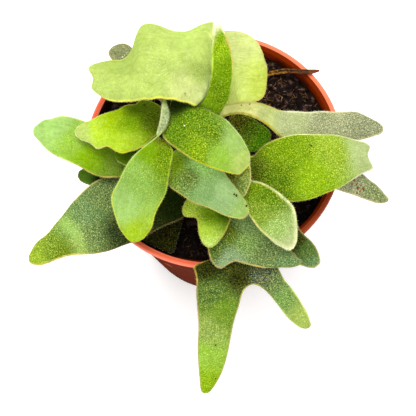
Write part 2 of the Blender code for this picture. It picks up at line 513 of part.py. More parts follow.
def lay_sheet(rows, fork, start, points, faces, phase):
    """Add cross rows to a sheet and return the point numbers of its last row."""
    curves = [row_curve(row) for row in rows]
    if fork:
        curves[-1] = row_curve(rows[-1], fork)
    marks = [0.0]
    for one, two in zip(curves, curves[1:]):
        reach = max(np.linalg.norm(two(s) - one(s)) for s in (0.0, 0.5, 1.0))
        marks.append(marks[-1] + reach)
    places = []
    for index in range(len(marks) - 1):
        pieces = max(1, round((marks[index + 1] - marks[index]) / CELL))
        for k in range(pieces):
            places.append(marks[index] + (marks[index + 1] - marks[index]) * k / pieces)
    places.append(marks[-1])
    last = start
    for place in places[1 if start else 0:]:
        final = place == places[-1]
        width = np.linalg.norm(between(curves, marks, place, 0.0)
                               - between(curves, marks, place, 1.0))
        if final and fork:
            parts_a = max(2, round(width * fork[3] / CELL))
            parts_b = max(2, round(width * (1 - fork[3]) / CELL))
            shares = [fork[3] * k / parts_a for k in range(parts_a)]
            shares += [fork[3] + (1 - fork[3]) * k / parts_b for k in range(parts_b + 1)]
        elif width < 0.5:
            shares = [0.5]
        else:
            parts = max(2, round(width / CELL))
            shares = [k / parts for k in range(parts + 1)]
        line = []
        for share in shares:
            point = between(curves, marks, place, share)
            margin = min(1.0, width / 12) * (2 * share - 1) ** 2
            side = 1.7 if share > 0.5 else 0.0
            point[2] += WAVE * margin * math.sin(2 * math.pi * place / WAVE_LENGTH + phase + side)
            line.append(len(points))
            points.append(point)
        if last:
            faces.extend(zip_rows(last, line, points))
        last = line
    return last


def make_frond(name, phase):
    """One frond: a sheet through its rows, given an even thickness all over."""
    rows = FRONDS[name]
    fork = FORKS.get(name)
    end_point = fork[0] if fork else NOTCHES.get(name)
    points, faces = [], []
    last = lay_sheet(rows, end_point, None, points, faces, phase)
    if fork:
        tip = fork[0]
        end = rows[-1]
        middle = min(last, key=lambda n: np.linalg.norm(points[n] - np.array(tip[:3], float)))
        cut_at = last.index(middle)
        lobe_a = [(*end[0:3], *tip[0:3], 0)] + fork[1]
        lobe_b = [(*tip[0:3], *end[3:6], 0)] + fork[2]
        lay_sheet(lobe_a, None, last[:cut_at + 1], points, faces, phase)
        lay_sheet(lobe_b, None, last[cut_at:], points, faces, phase)
    normals = [Vector((0, 0, 0)) for _ in points]
    spots = [Vector(p) for p in points]
    for a, b, c in faces:
        area = (spots[b] - spots[a]).cross(spots[c] - spots[a])
        for n in (a, b, c):
            normals[n] += area
    for normal in normals:
        normal.normalize()
    count = len(spots)
    upper = [p + n * BLADE / 2 for p, n in zip(spots, normals)]
    lower = [p - n * BLADE / 2 for p, n in zip(spots, normals)]
    skin = list(faces) + [(c + count, b + count, a + count) for a, b, c in faces]
    used = {}
    for a, b, c in faces:
        for edge in ((a, b), (b, c), (c, a)):
            used[edge] = True
    for a, b in used:
        if (b, a) not in used:
            skin.append((b, a, a + count))
            skin.append((b, a + count, b + count))
    solid(name, upper + lower, skin, material(name + "_green", GREENS[name], 0.75))


def main():
    clear_scene()
    make_pot()
    make_soil()
    make_crown()
    rng = random.Random(SEED + 2)
    for name in FRONDS:
        make_frond(name, rng.uniform(0, 2 * math.pi))
    rod("twig", TWIG, TWIG_HALF_THICKNESS, material("bark", (120, 80, 45), 0.9))
    rod("old_stalk", OLD_STALK, OLD_STALK_HALF_THICKNESS, material("dry_brown", (70, 48, 34), 0.9))


main()
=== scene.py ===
"""Young staghorn fern in a round plastic pot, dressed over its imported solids.

Sizes in the tables are millimetres, as in the solids' source, and become metres when a mesh is
made. Z is up, the pot stands on Z = 0 and the front of the plant faces -Y.
"""
import json
import math
import random

import bmesh
import bpy
import numpy as np
from mathutils import Matrix, Vector, noise

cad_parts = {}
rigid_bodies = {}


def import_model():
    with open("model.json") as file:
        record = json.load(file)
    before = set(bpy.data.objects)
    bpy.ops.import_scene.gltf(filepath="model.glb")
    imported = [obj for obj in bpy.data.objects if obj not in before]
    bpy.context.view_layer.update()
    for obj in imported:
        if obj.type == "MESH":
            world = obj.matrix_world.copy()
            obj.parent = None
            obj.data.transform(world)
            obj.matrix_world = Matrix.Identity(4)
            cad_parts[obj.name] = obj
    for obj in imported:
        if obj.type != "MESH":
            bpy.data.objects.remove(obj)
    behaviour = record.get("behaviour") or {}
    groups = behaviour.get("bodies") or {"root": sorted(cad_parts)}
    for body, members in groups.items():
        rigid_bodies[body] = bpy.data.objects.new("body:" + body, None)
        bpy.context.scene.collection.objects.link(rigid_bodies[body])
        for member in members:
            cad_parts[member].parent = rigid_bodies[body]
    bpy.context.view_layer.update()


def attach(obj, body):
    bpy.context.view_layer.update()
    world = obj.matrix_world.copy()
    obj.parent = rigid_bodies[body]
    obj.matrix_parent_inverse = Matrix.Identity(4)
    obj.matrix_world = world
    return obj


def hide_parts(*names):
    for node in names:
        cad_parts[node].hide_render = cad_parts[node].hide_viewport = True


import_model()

MM = 0.001
SEED = 12

# camera
CAMERA_TARGET = (0.0, 0.0, 100.0)
CAMERA_AIM = (-4.76, -31.37, 100.0)
CAMERA_DISTANCE = 400.0
CAMERA_RISE = 65.19
CAMERA_ROLL = -6.5
CAMERA_LENS = 73.83
CAMERA_SENSOR = 36.0
CAMERA_NEAREST = 0.01

# studio, in metres and watts
FLOOR_SIZE = 6
FLOOR_GREY = (0.93, 0.93, 0.93, 1)
FLOOR_GLOW = 0.18
SKY_STRENGTH = 1.35
LAMP_PLACE, LAMP_AIM, LAMP_SIZE, LAMP_POWER = (-0.15, 0.55, 1.3), (0, 0, 0.08), 1.0, 12.0

# pot
SIDES = 96
POT_HEIGHT = 100.0
LIP_RADIUS = 60.1
LIP_HEIGHT = 1.9
LIP_EDGE = 0.4
MOUTH_RADIUS = 57.6
BASE_RADIUS = 43.0
WALL = 1.3
FLOOR = 2.0
BODY_TOP_RADIUS = 57.6
EDGE = 0.6
FLOOR_CORNER = 1.0
HOLE_RADIUS = 4.0
HOLE_RING = 30.0
HOLES = 6
HOLE_SIDES = 24
BODY_RINGS = 8
INNER_RINGS = (93.7, 84, 72, 58, 44, 30, 16)
LIP_RING = ((0.95, 0.0), (0.8, 0.12), (0.65, 0.0))
POT_BEVEL = 0.12

# soil and crown
GAP = 0.3
SOIL_EDGE = 94.0
SOIL_DISH = 1.0
CROWN_X, CROWN_Y = -7.0, 3.0
CROWN_RADIUS = 12.0
CROWN_FOOT = 87.0
CROWN_SHOULDER = 94.5
CROWN_RISE = 19.0
CROWN_SIDES = 32
SCALES = 420
SCALE_LENGTH = (2.2, 4.5)
SCALE_HALF = (0.5, 0.9)
SCALE_LEAN = (0.1, 0.45)
# lumps of the peat's top: size and height of each kind
LUMPS = ((6.0, 1.2), (2.4, 1.2), (1.2, 0.7))
LUMP_SHIFT = 0.5
CRUMBS = 1500
CRUMB_SIZES = (0.4, 0.5, 0.5, 0.6, 0.8, 1.0, 1.3)
FIBRES = 1500
FIBRE_LENGTH = (1.2, 4.6)
FIBRE_HALF = (0.06, 0.15)
FIBRE_STEPS = 5
FIBRE_TURN = 0.22
ROD_SIDES = 14
ROD_STEP = 0.6

# fronds
BLADE = 0.9
RIM_BLADE = 0.4
RIM_TAPER = 1.3
ROW_STEP = 1.2
COLUMN_STEP = 1.3
WAVE = 0.35
WAVE_LENGTH = 15.0
# the waves are full in a blade of this width, and shifted between its two margins
WAVE_WIDTH = 12.0
WAVE_OFFSET = 1.7
# a cross row narrower than this is the blade's point
CLOSED = 0.05

# Each frond is a leathery sheet laid through cross rows from its root to its tip.
# A row is left margin x, y, z, right margin x, y, z, and how far the middle stands up.
FRONDS = {
    "frond_back_fan": [
        (-9.4, 13, 107, -5.3, 13, 107, 0), (-9, 12.8, 118, -4, 13, 118, 0),
        (-8, 9.5, 130, -2.5, 10, 130, 0), (-7.5, 4.5, 139, -2, 7, 139, 0),
        (-6, -2, 144, -1.4, 3.6, 141.7, 0), (-9, -1, 145.5, 2, 8.5, 144, 1),
        (-13, 0, 146.5, 4.5, 17, 147.5, 2), (-17.5, 1, 147, 6, 28, 149.5, 3),
        (-20.5, 1.5, 147, 4.5, 34, 150, 3), (-23.5, 1.5, 147, -1.5, 33, 150, 3),
        (-26, 1.5, 147, -7.5, 31, 149, 3), (-28, 2, 146.5, -14.5, 33.5, 148, 3),
        (-30, 2, 146, -21, 37.5, 146.5, 3), (-31, 2, 145.5, -26.5, 39, 145, 2.5),
        (-32.5, 2.5, 145, -29, 35, 144, 2), (-34, 2.5, 144.5, -32, 27.5, 143, 1.5),
        (-36.5, 3, 144, -36, 24, 142, 1.5), (-41.5, 4.5, 142.5, -41.5, 25, 140.5, 1.5),
        (-46.5, 8.5, 140, -48, 25.5, 138.5, 1), (-49.5, 14, 138.5, -50.5, 23.5, 137.5, 0)],
    "frond_back_right": [
        (-3, 11.8, 108, 0, 9.6, 108, 0), (-1.5, 11, 120, 0.5, 8.5, 120, 0),
        (0, 9.5, 130, 2.5, 6, 129.5, 0), (3, 9.5, 137, 5, 2, 134, 0),
        (3.5, 21.5, 140, 10.5, 2, 136, 1), (5.5, 33.5, 142, 15.5, 1.5, 137, 1.5),
        (14, 33.5, 142.5, 20, 1.5, 137, 1.5), (20, 30.5, 142, 23.5, 4, 137.5, 1),
        (23.5, 26.5, 141, 25, 11, 138, 0.5), (24.5, 21, 140, 25.5, 16, 139, 0)],
    "frond_upright": [
        (-1.2, -3.4, 109.5, 1, -0.2, 109.5, 0), (-2.5, -4.5, 121, 1.5, -2.5, 121, 0),
        (-3, -5.5, 131, 3.5, -4, 131, 0), (-5, 0, 139, 3.5, -3.5, 137.5, 0),
        (-2, 1, 143, 7, -0.5, 141, 0.5), (0, 4, 146, 9, 2.5, 145, 1),
        (1.5, 8, 150, 10.5, 8, 149, 1), (2.5, 14, 153.3, 10.7, 13.5, 153, 1),
        (3, 19.3, 155.5, 10, 18.6, 155.5, 0.7), (3.3, 22.2, 157.2, 9.1, 21.5, 157.2, 0.5),
        (3.7, 25, 158.7, 7.9, 24.4, 158.6, 0.2), (4.1, 27.2, 160, 6.6, 27, 160, 0)],
    "frond_top_front": [
        (-11, 13.3, 105, -14.5, 11.2, 105, 0), (-11.5, 13.8, 118, -15, 12, 118, 0),
        (-11, 12.3, 130, -15.5, 10.5, 130, 0), (-10, 4.5, 139.5, -16.2, 3.4, 139.5, 0),
        (-5.5, -0.5, 141, -17.6, -2.4, 141.3, 1), (-1.5, -3, 142, -18.6, -9.6, 141.9, 1.5),
        (2, -5.5, 142, -21, -13, 141.5, 1.5), (5, -7.5, 142, -18.5, -16.5, 141, 2),
        (7.5, -10, 141, -14, -20, 140, 2.5), (10, -13, 140, -9.5, -23.5, 139, 2.5),
        (12, -16, 138.5, -4.5, -26, 137.5, 2.5), (13.5, -19, 136.5, 0.5, -27.5, 135.5, 2),
        (15, -22, 134, 6, -29, 133, 1.5), (14.5, -25.5, 132, 10, -29.5, 131.5, 0.5)],
    "frond_front_long": [
        (-18, 7.2, 103, -16, 10.3, 103, 0), (-18.5, 8, 116, -16.5, 11, 116, 0),
        (-20, 9, 128, -17.5, 11.3, 128, 0), (-20.5, 7.5, 138, -18, 8.5, 138, 0),
        (-20, 2, 143.5, -18.5, 2, 143.5, 0), (-20.4, -3, 144.5, -17.4, -3.2, 144.2, 0),
        (-20.9, -6.5, 144.4, -17.2, -6.6, 144.1, 0), (-22.1, -10.3, 143.5, -18.8, -10.5, 143.7, 0),
        (-23.5, -12.5, 141.5, -21.5, -13.5, 143.5, 0), (-22.5, -13, 139.5, -23, -14, 143, 0),
        (-20, -14.5, 139, -25.5, -15, 141, 0), (-17, -19, 138.5, -29.5, -17.5, 140, -1),
        (-18.5, -24, 136.5, -34.5, -20.5, 138, -1.5), (-20, -29, 132.5, -40.5, -28, 133, -1.5),
        (-22, -34, 127, -45.5, -32.5, 126.5, -1), (-25.5, -39.5, 121.5, -46.5, -37.5, 120.5, -1),
        (-29, -44.5, 116.5, -44, -43, 115.5, -0.5), (-33, -47, 112.5, -40.5, -47, 112, 0),
        (-37, -48.7, 111, -37, -48.7, 111, 0)],
    "frond_left_upper": [
        (-19.2, 2.7, 100, -18.7, 6.6, 100, 0), (-21, 1.5, 110.5, -20.8, 6.3, 110.5, 0),
        (-22.5, 0.5, 121.5, -21.5, 10, 121.5, 0), (-24, -3.5, 123.5, -25, 12, 123.5, 1),
        (-26.5, -6, 124.5, -28.5, 13, 124.5, 1), (-30, -9, 125, -33.5, 12.5, 125, 1.5),
        (-34.5, -11, 124.5, -36.5, 12, 124.5, 1.5), (-39, -11.3, 124, -40, 10.3, 124, 1.5),
        (-43, -10, 123, -44, 10, 122.5, 1.5), (-44.7, -7.8, 122, -46.2, 9.6, 122, 1.3),
        (-48, -7.2, 121.2, -49.5, 9, 121, 1), (-51, -6.8, 120, -53, 8.3, 119.5, 1),
        (-53.5, -4.3, 119.5, -55.3, 8, 119, 0.7), (-55, -2.7, 119, -57, 7.5, 118.5, 0.5),
        (-59, -0.5, 117.5, -60.5, 6, 117.5, 0.3), (-62, 3, 117, -62, 3, 117, 0)],
    "frond_left_long": [
        (-19.3, 0.4, 97, -19.5, 4.7, 97, 0), (-25, -3.2, 101.5, -25.5, 2.5, 101.5, 0),
        (-30, -8.5, 106, -30.5, -2.5, 106, 0), (-36.5, -15.5, 110, -37, 0, 110, 0),
        (-42, -17.5, 112, -42, 2, 112, -0.5), (-49.5, -18, 114, -51, 6.5, 114, -1),
        (-55.5, -16, 115, -56, 9, 115, -1.5), (-60.5, -12, 115, -62, 12, 115, -1.5),
        (-66, -8.5, 114, -68, 14, 114, -1), (-71, -5.5, 113, -72.5, 14, 113, -0.7),
        (-76.5, 0, 111, -77, 14, 111.5, -0.3), (-80, 5, 109.5, -80.5, 12.5, 110, 0),
        (-82.5, 10, 109, -82.5, 10, 109, 0)],
    "frond_left_small": [
        (-17, -4.1, 99.5, -18.8, -0.5, 99.5, 0), (-21, -5, 109, -22.3, -1, 109.5, 0),
        (-25.5, -7.5, 115, -26.5, -2.5, 115.5, 0), (-32, -14.5, 117, -33.5, -4, 117, 0),
        (-37, -16, 117.5, -39.5, -5.5, 117.5, 0.5), (-42, -13, 117, -43, -6.5, 117, 0.3),
        (-44, -9.5, 116.5, -44, -9.5, 116.5, 0)],
    "frond_left_low": [
        (-15.2, -6.7, 96, -18, -3.4, 96, 0), (-25, -11, 98, -27, -6, 98, 0),
        (-34, -11, 100, -34.5, -5, 100, 0), (-45, -15, 102, -44.5, -6, 102, 0.5),
        (-54, -17.5, 103, -54, -7.5, 103, 0.5), (-58.5, -16.5, 103.2, -59.5, -8, 103.2, 0.5),
        (-62.5, -14, 103, -62.5, -9, 103, 0), (-63.5, -11.5, 103, -63.5, -11.5, 103, 0)],
    "frond_left_front": [
        (-11.2, -8.7, 98.5, -15, -6.5, 98.5, 0), (-11, -17, 99.8, -17.5, -12.5, 100.5, 0),
        (-15.5, -34.5, 101.5, -21.5, -12.5, 103.5, 1), (-23, -38.5, 103, -29.5, -13, 105, 1),
        (-31, -42.5, 104.5, -36.5, -13.8, 106.5, 1.2), (-37.5, -46.3, 106, -43, -15.3, 108, 1.2),
        (-44, -48.5, 107.5, -48.5, -16.3, 109, 1.5), (-50, -51, 109, -53.5, -18, 110, 1.7),
        (-55.5, -52, 110, -59, -22, 111, 1.7), (-61, -51.5, 109, -63, -26, 110, 1.5),
        (-67, -51, 107, -67, -29, 108, 1.5), (-71.5, -51, 105, -72, -34, 106, 1),
        (-76.5, -52, 102.5, -77, -38.5, 103.5, 1), (-82, -52, 100, -82.5, -41, 101, 0.7),
        (-86, -50.5, 98, -86, -45, 98.5, 0.3), (-87.5, -48, 97.5, -87.5, -48, 97.5, 0)],
    "frond_pot_inner": [
        (-7.8, -9.7, 95.5, -12, -8.6, 95.5, 0), (-9.5, -20, 96, -16.5, -18, 96, 0),
        (-15, -30, 97, -24.5, -27, 97, 0.3), (-18.2, -39, 97.5, -33.5, -35.3, 97.5, 0.4),
        (-20.4, -45.8, 97.4, -36.2, -40.6, 97.4, 0.3), (-22.2, -51.1, 97.4, -33.3, -44.6, 97.4, 0)],
    "frond_front_small": [
        (-4.6, -8.2, 103, -8.6, -8.3, 103, 0), (-2, -15, 107, -8, -15, 107, 0),
        (0, -22, 110.5, -6.5, -22.5, 110.5, 0), (3.5, -28, 113, -6, -27, 113, 0),
        (5, -36, 114, -12, -30.5, 114, 0.5), (5.5, -38.5, 114, -14.5, -33, 114, 0.5),
        (5.3, -40, 114, -16, -36, 113.5, 0.5), (5.1, -41, 114, -15, -39.5, 113, 0.5),
        (4.5, -43, 114, -9.5, -40.3, 113.3, 0.5), (3, -46.3, 113, -9.5, -44.4, 112.7, 0.5),
        (0.5, -49.7, 111.7, -9, -49.2, 111.7, 0.5), (-2.5, -52.6, 110.3, -7.5, -52.3, 110.3, 0.2),
        (-5, -53.7, 109.7, -5, -53.7, 109.7, 0)],
    "frond_right_front": [
        (1.7, -4.9, 102, -1.4, -7.4, 102, 0), (5, -13, 108.5, 0.5, -16.5, 108.5, 0),
        (10.5, -20, 114, 5, -25.5, 113.5, 0), (14.5, -26.5, 117, 9, -31.5, 116.5, -0.3),
        (19.5, -28.5, 118.5, 11, -36, 118.5, -0.8), (24, -32, 119.5, 12, -41.5, 119, -1.3),
        (28.5, -36.5, 119, 14.5, -46, 118.5, -1.5), (32, -40, 118, 17.5, -50.5, 117, -1.5),
        (33, -44.5, 116, 21, -53.5, 115, -1.3), (33, -50, 113.5, 24, -55.5, 112.5, -0.8),
        (32.5, -54.5, 111, 27.5, -57, 110.5, -0.3), (30, -57.7, 110, 30, -57.7, 110, 0)],
    "frond_middle_small": [
        (3.5, 0.3, 105, 1.9, -3.3, 105, 0), (7, -5, 113, 3.5, -8, 113, 0),
        (11, -10, 119, 6, -12, 118.5, 0), (14, -15, 121.5, 5, -17, 121.5, 0),
        (15, -21, 122.5, 3.5, -23, 122.5, 0.3), (15, -26, 122.5, 4, -28, 122.5, 0.3),
        (14.5, -30, 122, 6, -30.5, 121.5, 0.3), (12.5, -33.5, 121.5, 8, -32.5, 121, 0),
        (10.5, -35.5, 120.5, 10.5, -35.5, 120.5, 0)],
    "frond_middle_front": [
        (-2.8, -6.2, 107, -6.7, -7.2, 107, 0), (-2.5, -9, 116, -8.5, -9, 116, 0),
        (-3.5, -12, 122, -11.5, -12.5, 122, 0), (-7.5, -14, 126, -16.5, -13, 126, 0.5),
        (-3.5, -17.5, 128, -20, -23, 127.5, 1), (-1, -20.5, 129, -20.5, -29.5, 127.5, 1.5),
        (1.5, -23.5, 129, -14, -35.5, 127, 1.5), (4.5, -28.5, 128.5, -9.5, -38.5, 126, 1.5),
        (7.5, -33, 127, -3.5, -41, 125, 1.5), (10, -36.5, 125, 1.5, -43.5, 123.5, 1),
        (12, -39, 123, 6, -45, 122, 0.6), (13, -42.5, 121, 10, -45.5, 121, 0.2)],
    "frond_front_wedge": [
        (-1, -7.7, 99.5, -4.8, -9.1, 99.5, 0), (2.5, -18, 103, -2.5, -19.5, 103, 0),
        (7.5, -27, 106, 1.5, -29, 106, 0), (15, -35, 109.5, 6, -36, 109, 0),
        (18.5, -42, 109.5, 2, -41.8, 109, 0.5), (22.5, -47.5, 108.5, -3.5, -49.5, 108, 1),
        (26.5, -52.5, 107.3, -6, -53, 107.5, 0.7), (29.5, -56.5, 106.8, -5.2, -57, 107, 0)],
    "frond_right_low": [
        (3.6, -3.8, 97, 0.9, -6.8, 97, 0), (10, -17, 98.5, 6, -20, 98.5, 0),
        (18, -28, 100.5, 13, -31.5, 100.5, 0), (30, -34.5, 102, 19, -42.5, 102, 0.3),
        (33.5, -41.5, 103, 21.5, -49, 102.5, 0.3), (35.5, -47.5, 103, 25.5, -54, 102.5, 0.3),
        (39, -51.5, 103, 28.5, -58.5, 102.5, 0.3), (41.5, -55, 102.5, 32.5, -61.5, 102.5, 0.3),
        (42.5, -59, 102, 36, -63, 101.5, 0.2), (42.5, -62, 101.5, 39.5, -64, 101.5, 0)],
    "frond_bottom_fork": [
        (-1.8, -8.6, 95.7, -5.7, -9.6, 95.7, 0), (3, -20, 96.5, -2.5, -21.5, 96.5, 0),
        (8, -33, 98, 1.5, -34.5, 98, 0), (13.5, -44.5, 100, 2.5, -46, 100, 0.3),
        (18.5, -54, 101.8, 0, -53.5, 101.8, 0.5), (22, -60.5, 102.5, -6, -57, 102.5, 1),
        (23.8, -63, 102.8, -13, -59, 102.5, 1.2), (25, -66.6, 102.8, -12, -63, 102.5, 1.2),
        (26.8, -70, 102.5, -12, -67.5, 102.5, 1)],
    "frond_right_broad": [
        (4.9, 0.9, 100, 3.6, -3, 100, 0), (9.5, -4, 105, 8, -9, 104.5, 0),
        (14, -10, 109.5, 12.5, -17, 108, 0), (17, -13.5, 112.5, 15, -20.5, 110, 0),
        (21.5, -10.5, 116, 20, -28.5, 111, 0.5), (28, -8.5, 118, 26, -34, 112, 1),
        (34.5, -7.5, 119.5, 32.5, -36.5, 113, 1.5), (41, -8, 120, 39, -36.5, 114.5, 2),
        (48, -8.5, 119.5, 45.5, -35, 115, 2), (55.5, -9, 118, 52.5, -32.5, 114.5, 2),
        (62, -10, 115.5, 59, -29, 113, 1.5), (66.5, -11, 113, 65, -25, 111, 1),
        (69.5, -12.5, 111, 69.8, -22, 109.5, 0)],
    "frond_right_long": [
        (3, 8.6, 104, 4.2, 5, 104, 0), (4, 8.2, 112, 4.6, 3.5, 112, 0),
        (4.4, 8, 120, 4.2, 2.6, 119.6, 0), (4.6, 8, 123.8, 2.8, 1.4, 123.3, 0),
        (10, 7, 125.5, 8.5, 2, 125.5, -0.3), (15.5, 7, 126, 14, 1.5, 126, -0.5),
        (21.5, 7, 125, 20, -0.5, 124.5, -0.5), (25.5, 6, 123, 24.5, -3, 122, -0.5),
        (30, 4.5, 121, 29, -5.8, 117.5, -0.5), (35, 4.5, 119, 33, -8.6, 113.5, -0.3),
        (41, 4.5, 117, 36.5, -12.5, 112, 0), (49, 5, 115, 42, -19, 110.5, 0)],
    "frond_right_inner": [
        (4.9, 6.9, 98, 5.5, 2.5, 98, 0), (8, 8.5, 105, 9, 3, 104.5, 0),
        (9.5, 11.5, 110, 8, 3.5, 109.5, 0.3), (13, 9.5, 111.5, 8.5, -4, 111, 0.7),
        (18, 6, 112, 12.5, -8.5, 111.5, 1), (22.5, 3, 111.5, 17.5, -10, 110.5, 0.7),
        (25.5, 0.5, 110.5, 21.5, -8.7, 109.5, 0.3), (26.5, -2.3, 109.5, 25, -5.8, 109.5, 0)],
    "frond_back_left": [
        (-15.6, 11.8, 98.5, -12.4, 14.1, 98.5, 0), (-20, 19, 102.5, -16, 22, 102.5, 0),
        (-23.5, 22.5, 106, -20.5, 30, 106, 0), (-32, 30, 108, -29.5, 42.5, 108, 0.4),
        (-39.5, 38.5, 109, -35.5, 50.5, 109, 0.6), (-45, 44.5, 109, -40.5, 53, 109, 0.5),
        (-46.7, 48.5, 109, -44.5, 51.5, 109, 0.2)],
}

# A forked frond ends in two lobes. The fork point x, y, z stands at a share of the last row;
# the first lobe goes on from the left margin to the fork, the second from there to the right.
FORKS = {
    "frond_bottom_fork": (
        (12, -69, 103.5, 0.4),
        [(28.8, -72.8, 102, 16.5, -71.5, 102.5, 0.4), (31.7, -77.5, 100.5, 21, -76.5, 100.5, 0.4),
         (34.5, -83, 98.5, 25.5, -83.5, 98.5, 0.3), (35.5, -86.5, 97, 29.5, -87.5, 97, 0.2),
         (34.5, -89.5, 96, 34.5, -89.5, 96, 0)],
        [(8, -71.5, 102.5, -12.5, -72, 102.5, 0.5), (5.5, -77.5, 101.5, -12.5, -78.5, 101.5, 0.7),
         (2.5, -84.5, 100, -12.5, -85, 100, 0.7), (0, -93, 97, -13.5, -93, 97, 0.7),
         (-2.5, -100.5, 94, -14, -100, 94, 0.6), (-5.5, -106.5, 91, -14, -106.5, 91, 0.4),
         (-8.5, -110, 88.5, -14, -110.5, 88.5, 0.2), (-12, -112.5, 87, -12, -112.5, 87, 0)]),
    "frond_right_long": (
        (51, -11.5, 111.5, 0.6),
        [(57.5, 5, 113.3, 59.5, -9.5, 110.5, 0.5), (66, 5.3, 111.2, 66, -8, 109.7, 0.5),
         (71.5, 3, 110, 71.5, -6.8, 109, 0.4), (75.5, 0.3, 109.2, 75, -5.8, 108.7, 0.2),
         (78, -3.3, 108.3, 78, -3.3, 108.3, 0)],
        [(58, -16.3, 110.3, 45.5, -24.3, 109, 0.3), (62, -20.8, 108.5, 49.5, -28, 108, 0.4),
         (66.5, -24.5, 107, 55, -30.5, 106.5, 0.4), (69.5, -27, 105.5, 60.5, -32.5, 105, 0.4),
         (73, -30, 104, 66, -34.5, 103.5, 0.3), (75.5, -34, 103, 71, -36.5, 102.5, 0.1),
         (76, -36, 102, 76, -36, 102, 0)]),
    "frond_front_wedge": (
        (5.5, -59, 106.5, 0.65),
        [(30, -57.3, 106.6, 11, -61.5, 106.3, 0.3), (31, -58.5, 106.4, 17, -63.3, 106.3, 0.3),
         (32, -59.7, 106, 23, -63.5, 106, 0.2), (33, -60.8, 105.5, 29, -64, 105.3, 0.1),
         (34, -62.5, 105, 34, -62.5, 105, 0)],
        [(2, -60.5, 106.3, -4.8, -58.8, 106.6, 0.1), (-0.5, -62, 105.8, -3, -61.3, 106, 0)]),
}

# Fronds whose end is notched: the notch x, y, z and its share along the last row.
NOTCHES = {
    "frond_right_broad": (68, -16.5, 110.8, 0.45),
    "frond_back_fan": (-49.2, 18.5, 138.3, 0.5),
}

# The greens of the fronds, red green blue of 255: fresh ones from shade to light, then those
# that the felt of star hairs turns grey, then the dry and faded ones.
GREENS = {
    "pitch": (2, 2, 5), "night": (5, 15, 5), "pine": (10, 25, 5), "cave": (10, 35, 25),
    "bottle": (30, 70, 5), "yew": (30, 70, 25), "jungle": (10, 75, 5), "parrot": (55, 130, 0),
    "moss": (45, 75, 5), "ivy": (50, 100, 0), "grass": (65, 95, 5), "clover": (75, 115, 0),
    "leaf": (90, 130, 0), "apple": (110, 150, 5), "lime": (125, 170, 0),
    "citron": (160, 195, 0), "fern": (80, 115, 30), "meadow": (95, 125, 35),
    "olive": (120, 150, 35), "pear": (130, 170, 55), "pistachio": (155, 185, 55),
    "lemon": (165, 195, 45), "melon": (170, 200, 95), "gilt": (145, 175, 35),
    "shoot": (125, 165, 70), "hay": (140, 160, 75), "wheat": (165, 180, 70),

    "slate": (30, 50, 60), "spruce": (50, 85, 40), "lichen": (65, 95, 60),
    "thicket": (75, 110, 70), "thyme": (90, 130, 65), "sage": (115, 140, 65),
    "herb": (110, 145, 85), "mint": (120, 145, 105), "reed": (135, 165, 85),
    "dew": (135, 165, 105), "willow": (145, 180, 95), "almond": (160, 180, 90),
    "silver": (155, 170, 110), "linen": (180, 190, 115), "celery": (190, 205, 105),
    "glow": (180, 240, 120), "cream": (245, 245, 155),

    "khaki": (55, 60, 0), "bronze": (60, 50, 0), "drab": (70, 70, 45), "ash": (90, 105, 75),
    "dust": (105, 110, 80), "stone": (115, 120, 95), "oat": (135, 140, 105),
    "straw": (165, 175, 120),
}
# How strongly the star hairs show.
BALD, SPARSE, THIN, SOFT, FURRY, WOOLLY = 0.1, 0.25, 0.45, 0.75, 1.1, 1.4

